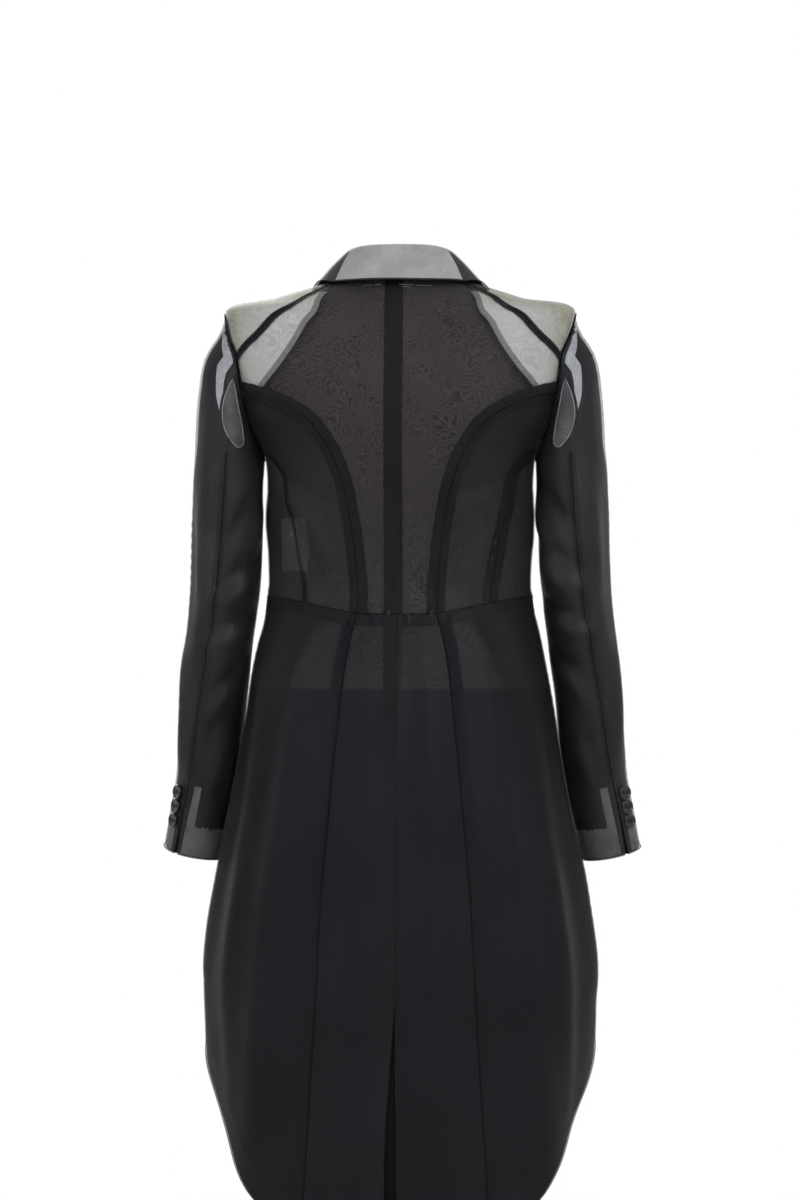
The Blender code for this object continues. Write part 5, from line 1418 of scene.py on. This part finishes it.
def grid_piece(name, rows, material, slot="organza"):
    """A sheet from rows of points."""
    count, columns = rows.shape[:2]
    faces = []
    for i in range(count - 1):
        for j in range(columns - 1):
            a, b = i * columns + j, i * columns + j + 1
            faces.append((a, b, b + columns, a + columns))
    u, v = lengths_along(rows[:, columns // 2]), lengths_along(rows[count // 2])
    uv = np.stack(np.meshgrid(u, v, indexing="ij"), 2).reshape(-1, 2)
    return add_mesh(name, rows.reshape(-1, 3), faces, material, uv, slot)


def finer(rows, times):
    """A grid with times as many points between its columns, along smooth curves."""
    columns = rows.shape[1]
    out = []
    for row in rows:
        along = lengths_along(row)
        read = smooth_table(np.column_stack([along, row]))
        out.append(read(np.linspace(0, along[-1], (columns - 1) * times + 1)))
    return np.array(out)


def collar_facing(rows, normal):
    """1 where the normals point out of the collar's fall, else -1."""
    middle = len(rows) // 2
    fall = rows[middle, -4]
    return 1.0 if normal[middle, -4] @ (fall * [1, 1, 0]) > 0 else -1.0


COLLAR_FINENESS = 3  # points of the dressed collar for each one of its section
STIFFENER_END = 0.0765  # x at which the collar's interfacing is cut off
STIFFENER_START = 0.42  # and the share of the section where it begins
STIFFENER_DROP = 0.0007
COLLAR_UNDER_DROP = 0.0014
COLLAR_WOBBLE = 0.0005  # height of its soft unevenness


def collar_pieces():
    """The collar with its dark layer, and the interfacing that lies between the two."""
    rows = finer(collar_rows(), COLLAR_FINENESS)
    number = np.arange(len(rows))[:, None]
    share = np.linspace(0, 1, rows.shape[1])[None, :]
    normal = grid_normals(rows)
    out = normal * collar_facing(rows, normal)
    wobble = COLLAR_WOBBLE * np.sin(number * 0.21 + 3 * share) * ease((share - 0.35) / 0.3)
    rows = rows + out * wobble[:, :, None]
    outer = grid_piece("cloth_collar", rows, COLLAR_OUTER)
    under = grid_piece("under_collar", rows - out * COLLAR_UNDER_DROP, UNDER)
    keep = np.where((np.abs(rows[:, -1, 0]) < STIFFENER_END) & (rows[:, -1, 1] > 0))[0]
    first = int(rows.shape[1] * STIFFENER_START)
    stiff = rows[keep][:, first:-1] - out[keep][:, first:-1] * STIFFENER_DROP
    stiffener = grid_piece("collar_stiffener", stiff, STIFFENER, "interfacing")
    edge = tube("collar_edge", rows[:, -1], BEAD * 1.4, SEWN)
    top = tube("collar_seam", rows[:, 0], BEAD, SEWN)
    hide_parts("collar")
    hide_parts("collar_interfacing")
    cut(outer)
    cut(under)
    cut(stiffener)


# ---- the sleeves ------------------------------------------------------------------------------


FLAP_SHARE = -0.4  # how far the cuff's flap reaches over the vent's gap, of the gap's width
CUFF_VENT_TOP = -0.575
BACK_SEAM_TOP = -0.195  # level below which the back seam and its allowance show
SLEEVE_BACK_ALLOWANCE = (0.0045, 0.0060)
SLEEVE_FRONT_ALLOWANCE = (0.0070, 0.0070)
CUFF_UNDERLAP_WIDTH = 0.0120
CUFF_UNDERLAP_DROP = 0.0026
# Depth of the sleeve's dark layer, and what is added under the head's inlays and at the cuff.
SLEEVE_DROP, HEAD_ROOM, CUFF_ROOM = 0.0008, 0.0020, 0.0010
SEAM_LIFT = 0.0001
CUFF_GAP_DEGREES = 8  # left open between the two ends of the cuff's edge


def under_sleeve_outline():
    back, front = back_long_seam(1.0), front_long_seam()
    cuff = cuff_curve(math.degrees(back[-1, 0]), math.degrees(front[-1, 0]))
    top = head_knots(BACK_TOP_DEGREES, FRONT_TOP_DEGREES)
    return join(cuff, front[::-1], top[::-1], back)


def top_sleeve_outline():
    back, front = back_long_seam(FLAP_SHARE, 360), front_long_seam()
    back[0, 0] = math.radians(BACK_TOP_DEGREES + 360)
    cuff = cuff_curve(math.degrees(front[-1, 0]), math.degrees(back[-1, 0]))
    top = head_knots(FRONT_TOP_DEGREES, BACK_TOP_DEGREES + 360)
    return join(cuff, back[::-1], top[::-1], front)


def sleeve_under_lift(uv):
    """The sleeve's dark layer lies deeper under the head's inlays and at the cuff."""
    drop = body_point(armhole_at(np.degrees(uv[:, 0])))[:, 2] - uv[:, 1]
    head = ease((uv[:, 1] + 0.22) / 0.04) * ease(drop / 0.012)
    cuff = ease((-0.560 - uv[:, 1]) / 0.02)
    return -SLEEVE_DROP - HEAD_ROOM * head - CUFF_ROOM * cuff


def sleeve(side):
    """Outer and under layers of the two-piece sleeve, with its seams and its cuff's vent."""
    end = side_name(side)
    outlines = (("top", top_sleeve_outline()), ("under", under_sleeve_outline()))
    outer = [layer(f"cloth_sleeve_{name}_{end}", sleeve_point, outline, side, SLEEVE_OUTER)
             for name, outline in outlines]
    inner = [layer(f"under_sleeve_{name}_{end}", sleeve_point, outline, side, SLEEVE_UNDER,
                   sleeve_under_lift) for name, outline in outlines]
    back, flap, front = back_long_seam(), back_long_seam(FLAP_SHARE), front_long_seam()
    below = back_long_seam(1.0)
    shown = back[back[:, 1] < BACK_SEAM_TOP]
    flap_end = math.degrees(flap[-1, 0])
    trims = [
        strip(f"allowance_sleeve_back_{end}", sleeve_point, shown[shown[:, 1] > CUFF_VENT_TOP], side,
              FACING, *SLEEVE_BACK_ALLOWANCE, -ALLOWANCE_DROP, 4, 0.0003),
        strip(f"allowance_sleeve_front_{end}", sleeve_point, front, side, FACING,
              *SLEEVE_FRONT_ALLOWANCE, -ALLOWANCE_DROP, 4, 0.0003),
        edge_bead(f"seam_sleeve_back_{end}", sleeve_point, shown, side, SEWN, SEAM_LIFT),
        strip(f"cuff_underlap_{end}", sleeve_point, below[below[:, 1] < CUFF_VENT_TOP], side, UNDERLAP,
              0.0, CUFF_UNDERLAP_WIDTH, -CUFF_UNDERLAP_DROP, 4),
        edge_bead(f"seam_sleeve_front_{end}", sleeve_point, front, side, SEWN, SEAM_LIFT),
        edge_bead(f"cuff_flap_edge_{end}", sleeve_point, flap[flap[:, 1] < CUFF_VENT_TOP], side,
                  SOFT_EDGE, 0.0004, BEAD * 1.3),
        edge_bead(f"cuff_edge_{end}", sleeve_point,
                  cuff_curve(flap_end, flap_end - 360 + CUFF_GAP_DEGREES), side, CUFF_EDGE, TRIM_LIFT,
                  BEAD * 1.4),
    ]
    for piece, (name, _) in zip(outer, outlines):
        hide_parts(f"sleeve_{name}_{end}")
    cut(outer[0])
    for piece in (outer[1], *inner):
        cut(piece)


# ---- what shows through the cloth -------------------------------------------------------------

PAD_BORDER = 0.0085  # width of the edging sewn along the pad's inner edge
PAD_BORDER_LIFT = 0.0006
PAD_MESH = 0.006
PAD_SHRINK = 0.975  # keeps the pad clear of the seams round it
PAD_RIM = 0.012  # length over which the pad's crown rises from its rim
QUILT = 0.0003  # height of the pad's soft unevenness


def shoulder_pad(side):
    """The felted pad: a crowned wedge, thin at its inner edge and full at the armhole."""
    end = side_name(side)
    inside_back = located(PAD_INSIDE_BACK)
    inside_front = located(PAD_INSIDE_FRONT, front=True)
    bottom_back, bottom_front = locate(*PAD_BOTTOM_BACK), locate(*PAD_BOTTOM_FRONT, front=True)
    hole = armhole_part(0.0, armhole_place(*PAD_BOTTOM_BACK) - 0.004)
    front_hole = armhole_part(ROUND - 0.060, ROUND)
    outline = join(hole[::-1], front_hole[::-1][1:], [bottom_front], inside_front[::-1], inside_back,
                   [bottom_back])
    outline = anticlockwise(outline)
    middle = outline.mean(0)
    outline = resample(middle + (outline - middle) * PAD_SHRINK, PAD_MESH, body_point)
    uv, faces = fill(outline, PAD_MESH, BODY_RADIUS)
    count = len(uv)
    rim = np.min(np.linalg.norm((uv[:, None] - outline[None]) * [BODY_RADIUS, 1], axis=2), axis=1)
    crown = ease(rim / PAD_RIM)
    x = body_point(uv)[:, 0]
    full = PAD_EDGE + (PAD_FULL - PAD_EDGE) * ease((x - 0.085) / 0.105)
    quilt = QUILT * np.sin(uv[:, 0] * BODY_RADIUS * 190) * np.sin(uv[:, 1] * 170)
    top = placed(body_point, uv, side, -PAD_DROP + (quilt - 0.0008) * (1 - crown) + quilt * crown)
    way = normals(body_point, uv) + [0, 0, 2.0]
    way /= np.linalg.norm(way, axis=1, keepdims=True)
    bottom = top - way * [side, 1, 1] * (0.0006 + full * crown)[:, None]
    solid = list(faces) + [tuple(i + count for i in f[::-1]) for f in faces]
    edges = {(f[i], f[(i + 1) % 3]) for f in faces for i in range(3)}
    for a, b in edges:
        if (b, a) not in edges:
            solid.append((b, a, a + count, b + count))
    if side < 0:
        solid = [f[::-1] for f in solid]
    pad = add_mesh(f"felt_shoulder_pad_{end}", np.vstack([top, bottom]), solid, PADDING, None, "padding")
    strip(f"pad_border_{end}", body_point, inside_back, side, EDGING, 0.0, PAD_BORDER,
          -PAD_DROP + PAD_BORDER_LIFT, 3)
    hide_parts(f"shoulder_pad_{end}")


def sleeve_inlay(name, node, outline, side, material, drop, slot):
    """A flat piece that lies between the sleeve's two layers."""
    piece = layer(name, sleeve_point, anticlockwise(outline), side, material, -drop, FINE_MESH, slot)
    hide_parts(node)
    return piece


CANVAS_STEP = 0.005
CANVAS_RIM_LIFT = 0.0004
CANVAS_RIM_RADIUS = 0.0007
WADDING_CLEAR = 0.0008  # how far the wadding lies under the canvas
# The cuff's interfacing: where it starts and ends, its height, and the arm beside the vent.
CUFF_BAND_DEGREES = (66.0, 402.0)
CUFF_BAND_CLEAR = 0.0015
CUFF_BAND_HEIGHT = 0.036
CUFF_BAND_FRAY = 0.0011
CUFF_ARM_DEGREES = (84, 70)
CUFF_ARM_TOP = -0.585


def inlays(side):
    """Canvas and wadding of the sleeve's head, and the cuff's interfacing."""
    end = side_name(side)
    corners = [locate_on_sleeve(x, z) for x, z in CANVAS_OUTLINE + CANVAS_OUTLINE[:1]]
    canvas_outline = curve_through(corners, CANVAS_STEP, (SLEEVE_RADIUS, 1.0))[:-1]
    canvas = sleeve_inlay(f"woven_canvas_{end}", f"sleeve_canvas_{end}", canvas_outline, side, CANVAS,
                          INLAY_DROP, "canvas")
    near = sleeve_top(np.linspace(-70, 62, 40)) - [0, WADDING_NEAR]
    far = sleeve_top(np.linspace(-70, 44, 36)) - [0, WADDING_FAR]
    tail = np.array([locate_on_sleeve(x, z) for x, z in WADDING_TAIL])
    wadding = sleeve_inlay(f"felt_wadding_{end}", f"sleeve_wadding_{end}", join(far, tail, near[::-1]),
                           side, WADDING, INLAY_DROP + WADDING_CLEAR, "wadding")
    rim = placed(sleeve_point, canvas_outline, side, -INLAY_DROP + CANVAS_RIM_LIFT)
    binding = tube(f"canvas_rim_{end}", rim, CANVAS_RIM_RADIUS, PALE_EDGE, True, "canvas")
    cut(canvas)
    cut(wadding)
    start, stop = CUFF_BAND_DEGREES
    lower = [(math.radians(a), CUFF_LEVEL + CUFF_BAND_CLEAR) for a in np.linspace(start, stop, 60)]
    number = np.arange(110)
    waves = np.sin(number * 1.7 + side) + 0.6 * np.sin(number * 0.63) + 0.5 * np.sin(number * 3.1)
    upper = [(math.radians(a), CUFF_LEVEL + CUFF_BAND_HEIGHT + u)
             for a, u in zip(np.linspace(stop, CUFF_ARM_DEGREES[0], len(number)), CUFF_BAND_FRAY * waves)]
    arm = [(math.radians(a), CUFF_ARM_TOP) for a in CUFF_ARM_DEGREES]
    band = sleeve_inlay(f"woven_cuff_{end}", f"cuff_interfacing_{end}", join(lower, upper, arm), side,
                        CUFF_STIFFENER, INLAY_DROP, "interfacing")
    cut(band)


# Pale hand stitches below the collar, as seen from behind: x from, x to, z.
BASTING = ((0.0420, 0.0300, -0.0040), (0.0275, 0.0200, -0.0035), (-0.0010, -0.0180, -0.0035),
           (-0.0205, -0.0390, -0.0045), (-0.0050, -0.0140, -0.0062))


STITCH_DROP = 0.0004
STITCH_RADIUS = 0.00045
LABEL_DROP = 0.0003


def basting():
    """The pale hand stitches."""
    for number, (start, stop, z) in enumerate(BASTING):
        side = 1 if start > 0 else -1
        line = np.array([locate(abs(x), z) for x in np.linspace(start, stop, 6)])
        points = placed(body_point, line, side, -STITCH_DROP)
        tube(f"basting_{number}", points, STITCH_RADIUS, PALE_THREAD)


def care_label():
    """The bare label in the left side seam."""
    half = np.array(LABEL_SIZE) / 2
    corners = [LABEL_PLACE + half * way for way in ((-1, -1), (1, -1), (1, 1), (-1, 1))]
    outline = anticlockwise(np.array([locate(*corner) for corner in corners]))
    label = layer("satin_label", body_point, outline, 1, LABEL, -LABEL_DROP, FINE_MESH, "label")
    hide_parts("care_label")
    cut(label)


# ---- buttons ----------------------------------------------------------------------------------

# A dished four-hole button's profile, in radii: distance from the axis, and height, back to front.
BUTTON_PROFILE = (
    (0.0, 0.0), (0.70, 0.0), (0.90, 0.05), (0.985, 0.12), (1.0, 0.20), (0.985, 0.29), (0.94, 0.355),
    (0.87, 0.385), (0.80, 0.37), (0.74, 0.31), (0.70, 0.27), (0.55, 0.245), (0.34, 0.24), (0.0, 0.24),
)
BUTTON_TURNS = 40
BUTTON_SHANK = 0.0012  # how far a cuff button's thread lets it stand off
# Turns the cuff buttons towards the back, as they hang on their threads.
BUTTON_TILT = {"left": 0.05, "right": 0.55}
# In radii of the button: the four holes' distance, and where the stitches start and how far they rise.
HOLE_PLACE = 0.26
STITCH_START, STITCH_RISE = 0.25, 0.10
BUTTON_THREAD = 0.00035  # radius of its thread


def button(node, outward):
    """A turned button on its node's place, with its thread. outward is roughly where it faces."""
    mesh = bpy.data.objects[node].data
    points = np.array([v.co for v in mesh.vertices])
    middle = (points.min(0) + points.max(0)) / 2
    normal = np.linalg.eigh(np.cov((points - middle).T))[1][:, 0]
    normal = normal * np.sign(normal @ outward)
    heights = (points - middle) @ normal
    radius = np.max(np.linalg.norm(points - middle - np.outer(heights, normal), axis=1))
    back = middle + normal * heights.min()
    if node.startswith("cuff"):
        back = back + normal * BUTTON_SHANK
        normal = normal + [0, BUTTON_TILT["left" if "left" in node else "right"], 0]
        normal /= np.linalg.norm(normal)
    across = np.cross(normal, [0, 0, 1])
    across /= np.linalg.norm(across)
    upright = np.cross(normal, across)
    made = [back]
    for share, height in BUTTON_PROFILE[1:-1]:
        for turn in np.linspace(0, 2 * math.pi, BUTTON_TURNS, endpoint=False):
            flat = across * math.cos(turn) + upright * math.sin(turn)
            made.append(back + radius * (flat * share + normal * height))
    made.append(back + radius * normal * BUTTON_PROFILE[-1][1])
    faces = []
    rings = len(BUTTON_PROFILE) - 2
    for i in range(BUTTON_TURNS):
        j = (i + 1) % BUTTON_TURNS
        faces.append((0, 1 + j, 1 + i))
        for ring in range(rings - 1):
            a, b = 1 + ring * BUTTON_TURNS + i, 1 + ring * BUTTON_TURNS + j
            faces.append((a, b, b + BUTTON_TURNS, a + BUTTON_TURNS))
        top = 1 + (rings - 1) * BUTTON_TURNS
        faces.append((top + i, top + j, len(made) - 1))
    piece = add_mesh(f"turned_{node}", made, faces, BUTTON, None, "button")
    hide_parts(node)
    hole = HOLE_PLACE * radius
    for number, sign in enumerate((-1, 1)):
        start = back + radius * normal * STITCH_START + across * hole * sign - upright * hole
        stitch = [start + upright * 2 * hole * t + normal * radius * STITCH_RISE * math.sin(math.pi * t)
                  for t in np.linspace(0, 1, 9)]
        tube(f"stitch_{node}_{number}", stitch, BUTTON_THREAD, SEWN, False, "button")


for wearer_side in (1, -1):
    bodice(wearer_side)
    skirt(wearer_side)
    sleeve(wearer_side)
    shoulder_pad(wearer_side)
    inlays(wearer_side)
collar_pieces()
care_label()
basting()
for end, outward in (("left", (1, 0, 0)), ("right", (-1, 0, 0))):
    for number in (1, 2, 3):
        button(f"cuff_button_{end}_{number}", outward)
button("waist_button", (0, -1, 0))


# ---- floor, light and camera ------------------------------------------------------------------

FLOOR_Z = -1.400
CAMERA_AWAY = 5.0
CAMERA_TURN = 2.0  # degrees by which the camera stands off the centre back
CAMERA_AIM = (0.000, 0.0, -0.3704)
FRAME_HEIGHT = 1.4112  # metres that the frame spans at the garment
FILM_HEIGHT = 36.0
FLOOR_TURNS = 96
FLOOR_RADII = (0.5, 1.0, 1.5, 1.9)
# name, place, aim, power
LIGHTS = (
    ("key", (-1.5, 2.8, 1.4), (0.0, 0.0, -0.3), 66),
    ("fill", (2.0, 2.4, 0.6), (0.0, 0.0, -0.4), 22),
    ("front", (0.9, -2.8, 1.0), (0.0, 0.0, -0.4), 70),
)
LIGHT_SIZE = (1.2, 2.0)


def floor():
    """A pale round floor far below the hem."""
    points = [(0, 0, FLOOR_Z)]
    for radius in FLOOR_RADII:
        for turn in np.linspace(0, 2 * math.pi, FLOOR_TURNS, endpoint=False):
            points.append((radius * math.cos(turn), radius * math.sin(turn), FLOOR_Z))
    faces = [(0, 1 + i, 1 + (i + 1) % FLOOR_TURNS) for i in range(FLOOR_TURNS)]
    for ring in range(len(FLOOR_RADII) - 1):
        for i in range(FLOOR_TURNS):
            a, b = 1 + ring * FLOOR_TURNS + i, 1 + ring * FLOOR_TURNS + (i + 1) % FLOOR_TURNS
            faces.append((a, a + FLOOR_TURNS, b + FLOOR_TURNS, b))
    made = Nodes("pale_floor")
    tone = made.noise(made.object_place(), 3.0)
    made.colour(made.ramp(tone, ((0.3, (0.74, 0.74, 0.73)), (0.7, (0.80, 0.80, 0.79)))))
    mesh = bpy.data.meshes.new("floor")
    mesh.from_pydata(points, [], faces)
    mesh.materials.append(made.finish(Roughness=0.8))
    piece = bpy.data.objects.new("floor", mesh)
    bpy.context.scene.collection.objects.link(piece)


def set_up(name, data, place, aim):
    """Puts a light or a camera in place, facing its aim."""
    made = bpy.data.objects.new(name, data)
    made.location = place
    way = Vector(aim) - made.location
    made.rotation_euler = way.to_track_quat("-Z", "Y").to_euler()
    bpy.context.scene.collection.objects.link(made)
    return made


def stage():
    """The floor, the white surroundings, the lights and the camera."""
    floor()
    world = bpy.data.worlds.new("studio")
    world.use_nodes = True
    world.node_tree.nodes["Background"].inputs["Color"].default_value = (1.0, 1.0, 1.0, 1.0)
    world.node_tree.nodes["Background"].inputs["Strength"].default_value = 1.0
    scene = bpy.context.scene
    scene.world = world
    scene.view_settings.view_transform = "Standard"
    scene.cycles.transparent_max_bounces = 32
    for name, place, aim, power in LIGHTS:
        light = bpy.data.lights.new(name, "AREA")
        light.shape = "RECTANGLE"
        light.size, light.size_y = LIGHT_SIZE
        light.energy = power
        set_up(name, light, place, aim)
    camera = bpy.data.cameras.new("camera")
    camera.sensor_fit = "VERTICAL"
    camera.sensor_height = FILM_HEIGHT
    camera.lens = FILM_HEIGHT * CAMERA_AWAY / FRAME_HEIGHT
    turn = math.radians(CAMERA_TURN)
    place = np.array(CAMERA_AIM) + CAMERA_AWAY * np.array([-math.sin(turn), math.cos(turn), 0.0])
    scene.camera = set_up("camera", camera, place, CAMERA_AIM)


stage()
